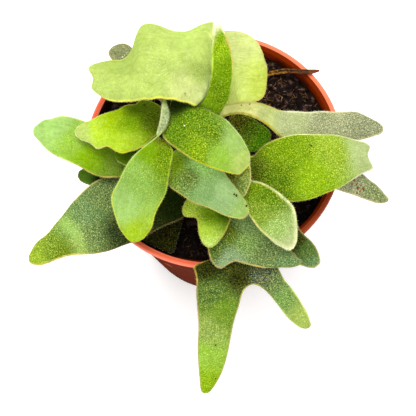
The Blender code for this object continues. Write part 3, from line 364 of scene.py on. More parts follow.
# How each frond is coloured. "brush" lays a green down around a place x, y seen from above, and
# says how strongly the star hairs show there. "rim" lays down the colour and the width of the
# line along the margin in the same way.
# Besides each frond's own colour, the brush greens hold painted shade where a frond lies under or
# against others and painted light where they lift a real shadow; the darkest rim strokes are
# painted shade.
SKINS = {
    "frond_back_fan": dict(rim=[
        (-32, 2, (232, 226, 80), 0.9), (-14, -1, (236, 230, 66), 1.1),
        (-5, -2, (236, 228, 60), 1.1), (3, 10, (120, 130, 60), 0.5),
        (0, 20, (205, 225, 110), 0.4), (-25, 36, (205, 225, 110), 0.4),
        (-50, 20, (200, 190, 110), 0.6)], brush=[
        (-3, 10, "hay", THIN), (-4, 20, "almond", SPARSE), (-8, 4, "linen", SPARSE),
        (-20, 15, "almond", THIN), (-3, 28, "almond", BALD), (-38, 22, "hay", BALD),
        (-47, 14, "almond", THIN), (-27, 6, "almond", SPARSE)]),
    "frond_back_right": dict(rim=[(20, 20, (200, 170, 90), 0.6)], brush=[
        (13, 9, "celery", BALD), (13, 27, "linen", BALD), (22, 8, "wheat", SPARSE)]),
    "frond_upright": dict(rim=[
        (6, 27, (244, 240, 196), 1.3), (2, 23, (236, 234, 170), 1.2),
        (10, 20, (200, 170, 90), 0.9), (2, 15, (185, 210, 70), 0.9),
        (-4, 0, (120, 150, 20), 0.5)], brush=[
        (6, 22, "apple", SOFT), (5, 18, "apple", WOOLLY), (6, 9, "leaf", SOFT),
        (2, 3, "clover", FURRY), (-2, 0, "apple", SOFT)]),
    # the two dark rim strokes and the pine stroke at the left are painted shade
    "frond_top_front": dict(rim=[
        (0, -26, (215, 205, 30), 0.9), (-17, -15, (190, 170, 80), 0.8),
        (8, -12, (190, 215, 120), 0.5), (-10, 2, (40, 50, 5), 0.4),
        (-15.5, -2, (38, 46, 6), 0.5)], brush=[
        (2, -24, "pear", THIN), (-14, -1, "pine", BALD), (-8, -8, "ivy", WOOLLY),
        (-16, -12, "ivy", FURRY), (0, -15, "ivy", WOOLLY), (8, -17, "reed", SPARSE),
        (12, -26, "almond", BALD), (-6, -21, "leaf", WOOLLY)]),
    # the two darkest rim strokes are painted shade
    "frond_front_long": dict(rim=[
        (-28, -16, (180, 205, 110), 0.5), (-37, -46, (205, 205, 50), 0.6),
        (-18, -20, (170, 190, 40), 0.5), (-21, -5, (190, 195, 130), 0.4),
        (-17, -6, (30, 38, 8), 0.5), (-17.5, 10, (10, 16, 3), 0.5)], brush=[
        (-19, -2, "pine", WOOLLY), (-23, -11, "bronze", WOOLLY), (-27, -17, "apple", SPARSE),
        (-20, -22, "clover", FURRY), (-34, -27, "shoot", SOFT), (-40, -36, "willow", SPARSE),
        (-37, -46, "gilt", THIN)]),
    "frond_left_upper": dict(rim=[
        (-58, -1, (225, 215, 150), 0.6), (-40, -11, (215, 205, 60), 0.7),
        (-35, 12, (190, 190, 60), 0.5)], brush=[
        (-33, 9, "grass", THIN), (-59, 3, "almond", THIN), (-50, 4, "lemon", THIN),
        (-38, -7, "lemon", THIN), (-36, 1, "lime", FURRY), (-43, 6, "citron", SOFT),
        (-26, 4, "grass", FURRY)]),
    "frond_left_long": dict(rim=[
        (-75, -2, (205, 215, 140), 0.5), (-50, -17, (190, 165, 85), 0.6)], brush=[
        (-79, 10, "willow", BALD), (-70, 9, "willow", BALD), (-64, 2, "pear", SOFT),
        (-56, -8, "apple", THIN), (-45, -14, "meadow", THIN)]),
    "frond_left_small": dict(rim=[(0, 0, (170, 170, 80), 0.6)], brush=[
        (-36, -9, "grass", BALD), (-42, -10, "grass", BALD), (-24, -4, "moss", BALD)]),
    "frond_left_low": dict(rim=[(0, 0, (130, 135, 80), 0.5)], brush=[
        (-60, -12, "fern", BALD), (-53, -13, "cave", BALD), (-35, -8, "cave", BALD)]),
    # the pine stroke by the root inside the pot is painted shade
    "frond_left_front": dict(rim=[
        (-60, -20, (205, 185, 105), 1.0), (-40, -14, (150, 125, 60), 0.8),
        (-70, -52, (205, 190, 95), 0.9), (-40, -48, (95, 80, 50), 0.6),
        (-15, -30, (120, 100, 50), 0.5)], brush=[
        (-36, -46, "night", SPARSE), (-84, -48, "olive", WOOLLY), (-75, -45, "fern", WOOLLY),
        (-64, -46, "sage", WOOLLY), (-66, -41, "thyme", WOOLLY), (-70, -50, "grass", WOOLLY),
        (-57, -44, "lichen", WOOLLY), (-59, -35, "thicket", FURRY), (-49, -25, "lichen", WOOLLY),
        (-45, -43, "cave", THIN), (-20, -28, "pine", BALD)]),
    # the pitch strokes and the dark rim are painted shade inside the pot
    "frond_pot_inner": dict(rim=[(0, 0, (34, 34, 12), 0.3)], brush=[
        (-25, -42, "pitch", SPARSE), (-14, -24, "pitch", SPARSE)]),
    "frond_front_small": dict(rim=[(0, 0, (185, 165, 70), 0.7)], brush=[
        (-14, -36, "pistachio", WOOLLY), (-6, -47, "pistachio", SOFT), (-3, -42, "leaf", SOFT),
        (-6, -53, "melon", FURRY), (2, -40, "moss", BALD)]),
    "frond_right_front": dict(rim=[
        (32, -42, (222, 224, 165), 1.8), (33, -50, (228, 226, 176), 2.2),
        (30, -57, (232, 228, 180), 2.6), (18, -29, (225, 222, 150), 1.2),
        (14, -48, (205, 195, 120), 0.8)], brush=[
        (14, -29, "leaf", WOOLLY), (23, -35, "ivy", WOOLLY), (18, -43, "meadow", FURRY),
        (24, -50, "reed", FURRY), (29, -55, "silver", THIN)]),
    "frond_middle_small": dict(rim=[(13, -30, (200, 185, 110), 0.7)], brush=[
        (8, -24, "khaki", WOOLLY), (13, -20, "grass", WOOLLY), (13, -30, "sage", WOOLLY)]),
    "frond_middle_front": dict(rim=[
        (-15, -36, (185, 165, 75), 0.7), (5, -44, (200, 195, 90), 0.7),
        (8, -30, (165, 165, 80), 0.5)], brush=[
        (-17, -21, "apple", WOOLLY), (-11, -28, "spruce", WOOLLY), (-6, -22, "glow", WOOLLY),
        (-5, -34, "herb", THIN), (3, -37, "dew", SPARSE), (11, -43, "reed", THIN)]),
    "frond_front_wedge": dict(rim=[
        (10, -62, (195, 170, 90), 0.7), (28, -55, (150, 140, 70), 0.5)], brush=[
        (12, -44, "herb", WOOLLY), (4, -48, "bottle", WOOLLY), (10, -51, "thyme", WOOLLY),
        (-2, -54, "yew", FURRY), (3, -58, "mint", SOFT), (19, -59, "lichen", WOOLLY),
        (28, -62, "thicket", FURRY)]),
    "frond_right_low": dict(rim=[(0, 0, (175, 160, 95), 0.6)], brush=[
        (33, -51, "pine", THIN), (38, -57, "spruce", SOFT), (40, -62, "thicket", SOFT),
        (22, -38, "pitch", THIN)]),
    # the two night strokes are the painted shadow of the wedge frond
    "frond_bottom_fork": dict(rim=[
        (-13, -60, (190, 165, 70), 0.9), (-13, -85, (170, 150, 90), 0.7),
        (30, -88, (190, 200, 90), 0.6), (0, -95, (170, 160, 80), 0.6)], brush=[
        (7, -66, "night", THIN), (17, -68, "slate", WOOLLY), (-2, -80, "fern", SOFT),
        (-7, -61, "night", SPARSE), (-6, -72, "spruce", FURRY), (-9, -88, "sage", FURRY),
        (-11, -98, "pear", SOFT), (-11, -108, "apple", FURRY), (20, -72, "lichen", WOOLLY),
        (23, -77, "thyme", FURRY), (31, -87, "hay", SOFT)]),
    "frond_right_broad": dict(rim=[
        (40, -7, (225, 225, 150), 0.7), (25, -12, (200, 190, 90), 0.7),
        (68, -20, (225, 215, 190), 0.8), (45, -36, (190, 195, 60), 0.5)], brush=[
        (26, -14, "leaf", WOOLLY), (19, -19, "bottle", WOOLLY), (33, -15, "leaf", FURRY),
        (42, -27, "apple", FURRY), (52, -17, "olive", WOOLLY), (66, -16, "silver", THIN),
        (27, -25, "ivy", WOOLLY)]),
    # the cream strokes at the start of the arm are painted light against the shade of the fronds
    # above
    "frond_right_long": dict(rim=[
        (5, 1, (190, 170, 40), 1.0), (12, 1.5, (190, 176, 36), 1.3),
        (20, -1, (186, 168, 30), 1.5), (26, -4, (176, 156, 20), 1.6),
        (32, -8, (160, 140, 12), 1.6), (37, -13, (140, 120, 10), 1.5),
        (12, 8, (190, 190, 100), 0.6), (40, 4, (215, 215, 175), 0.8),
        (75, 0, (200, 190, 140), 0.8), (65, -33, (190, 175, 130), 0.8)], brush=[
        (68, -32, "ash", WOOLLY), (8, 4, "cream", BALD), (17, 4, "cream", BALD),
        (25, 2, "linen", THIN), (32, 1, "straw", SOFT), (52, -2, "oat", WOOLLY),
        (72, -2, "stone", WOOLLY), (62, -29, "oat", WOOLLY)]),
    # the night stroke is painted shade under the arch of the long frond
    "frond_right_inner": dict(rim=[(0, 0, (110, 140, 30), 0.4)], brush=[
        (12, 4, "night", WOOLLY), (17, -1, "jungle", WOOLLY), (22, -4, "parrot", WOOLLY)]),
    "frond_back_left": dict(rim=[(0, 0, (185, 160, 110), 0.7)], brush=[
        (-38, 45, "dust", FURRY), (-22, 26, "drab", FURRY)]),
}

# Places where a thumb pushes a frond's sheet: x, y, push in x, y and z, reach.
NUDGES = {
    "frond_back_fan": [(-50.5, 23, -1.2, 0.6, 0, 2.5), (-50, 14, -1.0, -0.3, 0, 2.5),
                       (-30, 37, 0, 0.6, 0, 3)],
    "frond_left_upper": [(-34, 13, 0.6, -1.6, 0, 2.0), (-30.5, 13.5, -0.4, 0.9, 0, 1.6),
                         (-47, -7.5, 0, 0.9, 0, 1.8), (-52.5, -6.8, 0, -0.7, 0, 1.5),
                         (-40, -11.3, 0, -0.6, 0, 1.5)],
    "frond_right_broad": [(69.5, -12.5, 0.9, 0.6, 0, 2.5), (69.8, -22, 0.9, -0.6, 0, 2.5)],
    "frond_front_long": [(-46.5, -38, 1.6, 0, 0, 4), (-25.5, -40, -1.5, 0, 0, 4)],
}

# Small touches of colour over the brush strokes: x, y, colour, reach, how much covers. Some are
# painted shade or painted light, as noted at their fronds.
DABS = {
    # a pale band of painted highlight across the bend of the blade, and two darker dabs below it
    "frond_left_front": [
        (-69.2, -35.2, (150, 184, 84), 1.9, 0.55), (-66.4, -38.4, (156, 192, 90), 1.8, 0.5),
        (-64, -41.8, (160, 194, 98), 1.8, 0.5), (-62, -45.4, (160, 190, 96), 1.8, 0.5),
        (-60.6, -49, (150, 176, 84), 1.8, 0.5), (-69.5, -44.5, (84, 112, 10), 2.0, 0.6),
        (-66.8, -48.6, (84, 108, 14), 1.8, 0.6)],
    "frond_right_long": [
        (5, 1.8, (172, 152, 20), 0.5, 0.8), (8.5, 2.0, (168, 150, 6), 0.5, 0.9),
        (11.3, 1.7, (166, 148, 4), 0.5, 0.9), (14, 1.3, (160, 142, 4), 0.5, 0.9),
        (17, 0.5, (154, 136, 3), 0.55, 0.9), (20, -0.7, (150, 132, 2), 0.55, 0.9),
        (22.4, -2.0, (146, 128, 2), 0.6, 0.9), (24.7, -3.2, (146, 128, 2), 0.6, 0.9),
        (27, -4.7, (146, 126, 2), 0.6, 0.9), (29.2, -6.2, (146, 126, 2), 0.6, 0.9),
        (31.3, -7.6, (150, 124, 6), 0.6, 0.9), (33.2, -9.1, (150, 124, 12), 0.6, 0.8)],
    "frond_upright": [
        (5.0, 26.6, (246, 242, 196), 1.5, 1.0), (3.5, 23.8, (240, 236, 176), 0.9, 0.9),
        (3.2, 21, (226, 226, 130), 0.6, 0.8), (9.2, 20, (190, 170, 90), 0.8, 0.5)],
    "frond_front_long": [
        (-19.6, 1, (170, 200, 40), 1.2, 0.9), (-20.4, -2, (205, 224, 110), 0.9, 0.9),
        (-20.9, -5, (216, 228, 150), 0.8, 0.9), (-21.6, -8.5, (218, 228, 156), 0.8, 0.9),
        (-23, -12, (210, 222, 140), 0.9, 0.9), (-18.2, -3, (112, 132, 60), 0.8, 0.8),
        (-17.9, -6.5, (118, 136, 78), 0.9, 0.9), (-19.2, -10, (122, 138, 84), 0.9, 0.9),
        # the last, nearly black dab is painted shade at the stalk
        (-17.5, 10, (10, 16, 3), 2.2, 0.95)],
    # all but the first, dark dot are painted light against the shadow that the upright frond casts
    # on the fan
    "frond_back_fan": [
        (-10.1, 2.1, (90, 80, 40), 0.3, 0.9), (3.6, 21, (214, 232, 128), 1.2, 0.8),
        (3.2, 15, (224, 242, 138), 1.2, 0.8), (1.0, 9, (222, 238, 146), 1.1, 0.7),
        (3, 27, (214, 232, 128), 1.3, 0.7), (-1.2, 5.6, (216, 230, 148), 1.3, 0.7),
        (-3.6, 2.2, (206, 220, 140), 1.3, 0.6)],
    "frond_right_front": [
        (33, -46, (220, 226, 160), 1.2, 0.4), (30.5, -57, (225, 224, 165), 1.6, 0.5)],
    # painted shade in the shadow of the wedge frond
    "frond_bottom_fork": [
        (-13, -60.5, (40, 44, 14), 1.5, 0.6)],
}

# How the colours melt into each other, and how they change on the underside and at the root.
ROOT_GREEN = (52, 70, 10)
UNDER_GREEN = (150, 168, 122)
BRUSH_SOFT = 8.0
DAB_HAIRS = 0.3
UNDER_SHARE = 0.55
ROOT_SHARE = 0.8
ROOT_HAIRS = 0.6
ROOT_LENGTH = 20.0

# Swellings of a blade by size and height, its margin, and the hairs that stand on the margin.
SWELL = ((11.0, 0.45), (4.5, 0.14))
GROWN_LENGTH = 25.0
EASE_PASSES = 4
LIP_BULGE = 0.45
FUZZ_PER_EDGE = 4
FUZZ_LENGTH = (0.35, 0.8)
FUZZ_HALF = 0.035
FUZZ_PALE = (0.8, 0.8, 0.55, 1)
FUZZ_LEAN = ((-0.35, 0.7), (-0.7, 0.7))
TINY = 1e-9

# The skin's pattern. Cells and grains are counted per metre, the meshes of veins and streaks
# per millimetre along and across a frond, and two or four numbers are a ramp's ends.
STAR_CELLS = 1250.0
STAR_REACH = (0.42, 0.12)
STAR_SPARSE = (0.1, 0.85, 0.1, 1.0)
STAR_GREY = (0.0, 0.0, 3.5, 1)
STAR_YELLOW = (0.95, 0.95, 0.08, 1)
STAR_LIGHT = (2.2, 2.0, 2.3, 1)
STAR_SHARE = 0.45
STAR_COVER = 0.8
WOOL_GRAIN = 2300.0
WOOL_SHOWS = (0.42, 0.62, 0.0, 0.35)
SHADE_TINT = (0.4, 0.5, 0.12, 1)
SHADE_COVER = 0.36
BLOTCH_GRAIN = 170.0
DRIFT_GRAIN = 620.0
VEIN_MESH = (0.11, 0.36, 0.0)
STREAK_MESH = (0.07, 0.9, 0.0)
VEIN_HALF = 0.1
VEIN_COVER = 0.035
VEIN_GREEN = (0.03, 0.06, 0.005, 1)
SKIN_BUMP = 0.00035

# Bits fallen on the fronds: frond, kind (0 rusty, 1 dark, 2 pale), then x, y and size of each.
DEBRIS = [
    ("frond_right_long", 0, [(61.4, -26.6, 0.7), (62.6, -28.3, 0.6), (60.3, -28.3, 0.5),
                             (62.9, -30, 0.9), (63.7, -31.3, 0.6), (65.2, -30.1, 0.8),
                             (62.3, -32.1, 0.6), (64.4, -28.8, 0.5)]),
    ("frond_right_long", 1, [(17.4, 6.2, 0.5), (13.6, 5.7, 0.4)]),
    ("frond_middle_front", 1, [(7.8, -36.8, 0.8), (7.1, -36.3, 0.6), (11.9, -40.4, 0.7)]),
    ("frond_right_broad", 1, [(42.7, -13.8, 0.6), (42.3, -13.2, 0.4), (41.9, -16.8, 0.5),
                              (41.5, -20.4, 0.4)]),
    ("frond_left_upper", 1, [(-29.1, 10.3, 0.6)]),
    ("frond_bottom_fork", 1, [(-6.1, -93.8, 0.5), (-7.2, -107, 0.5)]),
    ("frond_back_fan", 1, [(-10.1, 2.1, 0.3)]),
    ("frond_back_left", 2, [(-39.6, 44.9, 0.4)]),
    ("frond_top_front", 2, [(-11.3, -10.6, 0.45)]),
    ("frond_middle_small", 2, [(14.5, -28.5, 0.35)]),
]
DROP_HEIGHT = 400.0

# A lighter mark and a dark dot on the pot's wall: place, size, how much they cover, colour.
WALL_MARKS = [((-27.0, -43.6, 57.5), 3.2, 0.75, (170, 78, 46)),
        ((-27.6, -44.0, 62.5), 1.2, 0.8, (40, 16, 10))]

# The pot's plastic. The lip has painted light at the back right, painted highlights along its outer
# edge and inner corner and painted shade at the front right; painted shade darkens the body under
# it and the inner wall, most at the left, and low on the inner wall an uneven line of peat dirt
# joins the painted shade.
POT_SKIN = {"Colour": (206, 92, 60), "Dark": (190, 76, 46), "Pale": (216, 106, 76)}
POT_PATCH, POT_GRAIN, POT_AMOUNT = 55.0, 700.0, 0.45
# painted light at the back right of the lip, painted highlights on its edges, painted shade at its
# front right
LIP_FAR_LIGHT, LIP_HIGHLIGHT, LIP_SHADED = (236, 124, 90), (232, 130, 106), (120, 48, 18)
# painted shade on the body under the lip, and the painted shade colour of the inner wall
BODY_SHADE, INNER_WALL_SHADE = (84, 37, 26), (124, 40, 6)
# painted shade on the inner wall at the left, and painted shade with peat dirt low on the inner
# wall
LEFT_WALL_SHADE, LOW_WALL_DIRT_AND_SHADE = (20, 9, 6), (30, 15, 10)
# where those colours begin and end, in metres: radii, heights, x + y, x - y and x
ROLL_RADII, CORNER_RADII = (0.0587, 0.0600, 0.0, 0.8), (0.0580, 0.0577)
CORNER_HEIGHTS, BODY_HEIGHTS = (0.0995, 0.0998), (0.0986, 0.0980)
FAR_SUM, SHADED_DIFFERENCE = (0.05, 0.07), (0.066, 0.074, 0.0, 0.8)
WALL_SLOPE, WALL_START = 0.1515, 0.0423
FLARE_START, FLARE_SUM, MOUTH_TOP = 0.0979, (-0.02, 0.0, 0.0, 0.0013), 0.09985
LEFT_WALL_SHADE_X, LOW_WALL_DIRT_AND_SHADE_HEIGHTS = (0.005, -0.025), (0.1015, 0.0985)

# Dry and dull finishes: colour, dark and pale parts of 255, patches and grains per metre, how
# strongly they show, roughness, and the depth of the unevenness in metres.
FINISHES = {
    "wet peat": ((24, 15, 12), (3, 2, 2), (92, 66, 54),
        420.0, 1300.0, 0.85, 0.95, 0.0014),
    "dark crumb": ((28, 18, 14), (4, 3, 2), (104, 76, 62),
        500.0, 1500.0, 0.85, 0.95, 0.0004),
    "grey brown clump": ((64, 50, 43), (16, 11, 9), (140, 116, 102),
        700.0, 1500.0, 0.85, 0.95, 0.0004),
    "peat fibre": ((136, 98, 52), (46, 30, 16), (196, 152, 96),
        500.0, 1500.0, 0.85, 0.95, 0.0002),
    "crown felt": ((78, 56, 32), (40, 28, 16), (120, 92, 56),
        300.0, 1300.0, 0.8, 0.95, 0.0004),
    "papery scale": ((120, 84, 46), (70, 44, 22), (170, 134, 86),
        400.0, 1500.0, 0.7, 0.85, 0.0002),
    "pale scale": ((150, 118, 72), (100, 70, 38), (190, 160, 112),
        400.0, 1500.0, 0.7, 0.85, 0.0002),
    "dry twig bark": ((146, 98, 30), (70, 42, 16), (182, 132, 58),
        420.0, 1600.0, 1.0, 0.8, 0.0004),
    "old stalk": ((34, 24, 17), (16, 10, 7), (62, 46, 32),
        350.0, 1400.0, 0.8, 0.9, 0.0004),
    "rusty crumb": ((128, 78, 38), (84, 46, 22), (168, 116, 64),
        900.0, 2600.0, 0.8, 0.95, 0.0002),
    "dark speck": ((74, 54, 24), (40, 28, 12), (104, 80, 44),
        900.0, 2600.0, 0.8, 0.95, 0.0002),
    "pale fleck": ((236, 240, 214), (200, 206, 170), (250, 250, 236),
        900.0, 2600.0, 0.8, 0.95, 0.0002),
}
PEAT_LOOKS = ("wet peat", "dark crumb", "grey brown clump", "peat fibre")
CROWN_LOOKS = ("crown felt", "papery scale", "pale scale")
DEBRIS_LOOKS = ("rusty crumb", "dark speck", "pale fleck")
# painted shade darkening the peat towards the front of the pot: its x + y ramp and its colour
PEAT_SHADE_SUM = (0.055, 0.015, 0.0, 0.72)
PEAT_SHADE_BLACK = (0.002, 0.0013, 0.0013, 1)
TWIG_CRACK, TWIG_OUTER, TWIG_TIP = (48, 27, 10), (76, 44, 30), (112, 50, 34)
TWIG_OUTER_X, TWIG_TIP_X = (0.030, 0.044), (0.0495, 0.0515)
TWIG_GRAIN = (150.0, 1500.0, 1500.0)

# Loose dry pieces: stations of x, y, z of the middle line and half width.
TWIG = [(24.5, 37.2, 94.3, 0.8), (28.5, 37.2, 94.4, 1.1), (31.5, 37.5, 95.0, 0.8),
        (34.5, 37.3, 95.8, 0.9), (40.5, 35.8, 98.4, 0.75), (45.5, 33.8, 100.7, 1.05),
        (50, 33.5, 101.3, 1.2), (53.5, 33.4, 101.7, 0.4)]
SLIVER = [(30, 38.3, 95.3, 0.3), (34.5, 38.4, 96.6, 0.45), (40, 36.8, 99.0, 0.5),
          (44.5, 34.9, 101.0, 0.45), (48.5, 34.2, 101.9, 0.25)]
OLD_STALK = [(-15.2, -36.5, 95.1, 1.1), (-13.4, -36.2, 95.4, 1.5), (-11.2, -36, 95.4, 1.4),
             (-9, -35.7, 95.3, 1.0)]
TWIG_HALF_THICKNESS, SLIVER_HALF_THICKNESS, OLD_STALK_HALF_THICKNESS = 0.6, 0.4, 1.2


# Meshes


def linear(rgb):
    """A colour of 255 steps as the linear numbers that a shader reads."""
    return tuple(((c / 255 + 0.055) / 1.055) ** 2.4 if c > 10 else c / 255 / 12.92 for c in rgb)


def paint(rgb):
    """The same colour as a socket takes it."""
    return (*linear(rgb), 1)


def put(name, points, faces, looks, marks=None):
    """Points in millimetres and faces as one named piece. marks numbers each face's material."""
    mesh = bpy.data.meshes.new(name)
    mesh.from_pydata([tuple(float(c) * MM for c in p) for p in points], [],
                     [tuple(int(n) for n in f) for f in faces])
    for look in looks:
        mesh.materials.append(look)
    if marks is not None:
        mesh.polygons.foreach_set("material_index", marks)
    mesh.polygons.foreach_set("use_smooth", [True] * len(mesh.polygons))
    mesh.update()
    piece = bpy.data.objects.new(name, mesh)
    bpy.context.collection.objects.link(piece)
    return piece


def only(piece):
    """Make one piece the selected and active one."""
    for item in bpy.context.view_layer.objects:
        item.select_set(item is piece)
    bpy.context.view_layer.objects.active = piece


def finish_modifiers(piece):
    """Apply every modifier of a piece."""
    only(piece)
    for modifier in list(piece.modifiers):
        bpy.ops.object.modifier_apply(modifier=modifier.name)


def settle(piece, node):
    """Place the piece's mesh for good, hang it on the root and let it stand for a node."""
    only(piece)
    bpy.ops.object.transform_apply(location=True, rotation=True, scale=True)
    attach(piece, "root")
    if node:
        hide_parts(node)


# Shader groups and materials


def new_group(name, inputs, outputs):
    """An empty shader node group with named sockets."""
    tree = bpy.data.node_groups.new(name, "ShaderNodeTree")
    for label, kind, value in inputs:
        socket = tree.interface.new_socket(name=label, in_out="INPUT", socket_type=kind)
        socket.default_value = value
    for label, kind in outputs:
        tree.interface.new_socket(name=label, in_out="OUTPUT", socket_type=kind)
    return tree


class Bench:
    """Short ways to add nodes to one node tree and wire them. place is where a pattern is read."""

    def __init__(self, tree):
        self.tree = tree

    def node(self, kind, **settings):
        made = self.tree.nodes.new("ShaderNode" + kind)
        for key, value in settings.items():
            setattr(made, key, value)
        return made

    def feed(self, source, socket):
        if hasattr(source, "is_output"):
            self.tree.links.new(source, socket)
        else:
            socket.default_value = source

    def math(self, operation, *values, clamp=False):
        made = self.node("Math", operation=operation, use_clamp=clamp)
        for value, socket in zip(values, made.inputs):
            self.feed(value, socket)
        return made.outputs[0]

    def ramp(self, value, low, high, to_low=0.0, to_high=1.0, soft=True):
        made = self.node("MapRange", interpolation_type="SMOOTHSTEP" if soft else "LINEAR")
        for number, socket in zip((value, low, high, to_low, to_high), made.inputs):
            self.feed(number, socket)
        return made.outputs[0]

    def mix(self, share, one, two, blend="MIX"):
        made = self.node("Mix", data_type="RGBA", blend_type=blend, clamp_result=False)
        self.feed(share, made.inputs[0])
        self.feed(one, made.inputs[6])
        self.feed(two, made.inputs[7])
        return made.outputs[2]

    def noise(self, place, scale, detail=2.0, rough=0.5):
        made = self.node("TexNoise")
        self.feed(place, made.inputs["Vector"])
        made.inputs["Scale"].default_value = scale
        made.inputs["Detail"].default_value = detail
        made.inputs["Roughness"].default_value = rough
        return made.outputs[0]

    def cells(self, place, scale, feature="F1"):
        made = self.node("TexVoronoi", feature=feature)
        self.feed(place, made.inputs["Vector"])
        made.inputs["Scale"].default_value = scale
        return made

    def place(self):
        return self.node("TexCoord").outputs["Object"]

    def apart(self, place):
        made = self.node("SeparateXYZ")
        self.feed(place, made.inputs[0])
        return made.outputs

    def stretch(self, place, scale):
        made = self.node("Mapping")
        self.feed(place, made.inputs["Vector"])
        made.inputs["Scale"].default_value = scale
        return made.outputs[0]


def make_mottle_group():
    """Uneven dirt and fade for the pot, the soil and the dry pieces."""
    tree = new_group("mottle", [
        ("Colour", "NodeSocketColor", (0.5, 0.5, 0.5, 1)),
        ("Dark", "NodeSocketColor", (0.1, 0.1, 0.1, 1)),
        ("Pale", "NodeSocketColor", (0.8, 0.8, 0.8, 1)),
        ("Patch", "NodeSocketFloat", 120.0), ("Grain", "NodeSocketFloat", 900.0),
        ("Amount", "NodeSocketFloat", 0.5)],
        [("Colour", "NodeSocketColor"), ("Height", "NodeSocketFloat")])
    bench = Bench(tree)
    start = tree.nodes.new("NodeGroupInput")
    end = tree.nodes.new("NodeGroupOutput")
    place = bench.place()
    patch = bench.node("TexNoise")
    bench.feed(place, patch.inputs["Vector"])
    bench.feed(start.outputs["Patch"], patch.inputs["Scale"])
    patch.inputs["Detail"].default_value = 4.0
    grain = bench.node("TexNoise")
    bench.feed(place, grain.inputs["Vector"])
    bench.feed(start.outputs["Grain"], grain.inputs["Scale"])
    grain.inputs["Detail"].default_value = 3.0
    dark = bench.math("MULTIPLY", bench.ramp(patch.outputs[0], 0.5, 0.36),
                      start.outputs["Amount"])
    pale = bench.math("MULTIPLY", bench.ramp(patch.outputs[0], 0.54, 0.7),
                      start.outputs["Amount"])
    base = bench.mix(dark, start.outputs["Colour"], start.outputs["Dark"])
    base = bench.mix(pale, base, start.outputs["Pale"])
    fleck = bench.math("MULTIPLY", bench.ramp(grain.outputs[0], 0.58, 0.75),
                       start.outputs["Amount"])
    base = bench.mix(bench.math("MULTIPLY", fleck, 0.5), base, start.outputs["Pale"])
    bench.feed(base, end.inputs["Colour"])
    bench.feed(bench.math("ADD", bench.math("MULTIPLY", patch.outputs[0], 0.6),
                          bench.math("MULTIPLY", grain.outputs[0], 0.4)), end.inputs["Height"])
    return tree


def make_frond_group():
    """Star hairs, blotches, veins and the margin line of a frond's leathery skin."""
    tree = new_group("frond skin", [
        ("Tint", "NodeSocketColor", (0.3, 0.5, 0.1, 1)), ("Hairs", "NodeSocketFloat", 0.5),
        ("Margin", "NodeSocketFloat", 5.0), ("Rim", "NodeSocketColor", (0.6, 0.5, 0.2, 1)),
        ("Rim Width", "NodeSocketFloat", 0.5), ("Run", "NodeSocketVector", (0, 0, 0))],
        [("Colour", "NodeSocketColor"), ("Roughness", "NodeSocketFloat"),
         ("Height", "NodeSocketFloat")])
    bench = Bench(tree)
    start = tree.nodes.new("NodeGroupInput")
    end = tree.nodes.new("NodeGroupOutput")
    place = bench.place()
    hairs = start.outputs["Hairs"]
    fine = bench.cells(place, STAR_CELLS)
    dots = bench.ramp(fine.outputs["Distance"], *STAR_REACH)
    chance = bench.node("SeparateColor")
    bench.feed(fine.outputs["Color"], chance.inputs[0])
    dots = bench.math("MULTIPLY", dots, bench.ramp(chance.outputs[0], *STAR_SPARSE))
    wool = bench.ramp(bench.noise(place, WOOL_GRAIN, 1.0), *WOOL_SHOWS)
    dots = bench.math("MAXIMUM", dots, wool)
    patches = bench.noise(place, BLOTCH_GRAIN, 3.0, 0.6)
    drift = bench.noise(place, DRIFT_GRAIN, 2.0, 0.6)
    run = bench.stretch(start.outputs["Run"], VEIN_MESH)
    web = bench.cells(run, 1.0, "DISTANCE_TO_EDGE")
    streaks = bench.noise(bench.stretch(start.outputs["Run"], STREAK_MESH), 1.0, 2.0, 0.6)
    vein = bench.ramp(web.outputs["Distance"], 0.0, VEIN_HALF, 1.0, 0.0)
    base = start.outputs["Tint"]
    tone = bench.math("ADD", bench.ramp(patches, 0.3, 0.7, 0.86, 1.12, soft=False),
                      bench.ramp(drift, 0.3, 0.7, -0.07, 0.07, soft=False))
    tone = bench.math("ADD", tone, bench.ramp(streaks, 0.3, 0.7, -0.07, 0.07, soft=False))
    wash = bench.node("HueSaturation")
    bench.feed(tone, wash.inputs["Value"])
    bench.feed(bench.ramp(drift, 0.3, 0.7, 1.06, 0.94, soft=False), wash.inputs["Saturation"])
    bench.feed(base, wash.inputs["Color"])
    ground = bench.mix(bench.math("MULTIPLY", bench.math("SUBTRACT", 1.0, dots),
                                  bench.math("MULTIPLY", hairs, SHADE_COVER), clamp=True),
                       wash.outputs[0], bench.mix(1.0, base, SHADE_TINT, "MULTIPLY"))
    # the star hairs are yellowish on a bright green frond and whitish on a grey green one
    star = bench.mix(1.0, bench.mix(1.0, base, STAR_GREY, "MULTIPLY"), STAR_YELLOW, "ADD")
    tuft = bench.mix(STAR_SHARE, bench.mix(1.0, base, STAR_LIGHT, "MULTIPLY"), star)
    furred = bench.mix(bench.math("MULTIPLY", dots, bench.math("MULTIPLY", hairs, STAR_COVER),
                                  clamp=True), ground, tuft)
    veined = bench.mix(bench.math("MULTIPLY", vein, VEIN_COVER), furred, VEIN_GREEN)
    uneven = bench.math("MULTIPLY", bench.ramp(drift, 0.35, 0.6, 0.6, 1.0),
                        bench.ramp(patches, 0.35, 0.62, 0.5, 0.95))
    line = bench.math("MULTIPLY",
                      bench.ramp(start.outputs["Margin"], 0.1, start.outputs["Rim Width"],
                                 1.0, 0.0), uneven)
    bench.feed(bench.mix(line, veined, start.outputs["Rim"]), end.inputs["Colour"])
    bench.feed(bench.ramp(dots, 0.0, 1.0, 0.52, 0.8, soft=False), end.inputs["Roughness"])
    height = bench.math("ADD", bench.math("MULTIPLY", dots, bench.math("MINIMUM", hairs, 0.6)),
                        bench.math("MULTIPLY", patches, 0.8))
    height = bench.math("SUBTRACT", height, bench.math("MULTIPLY", vein, 0.35))
    bench.feed(height, end.inputs["Height"])
    return tree


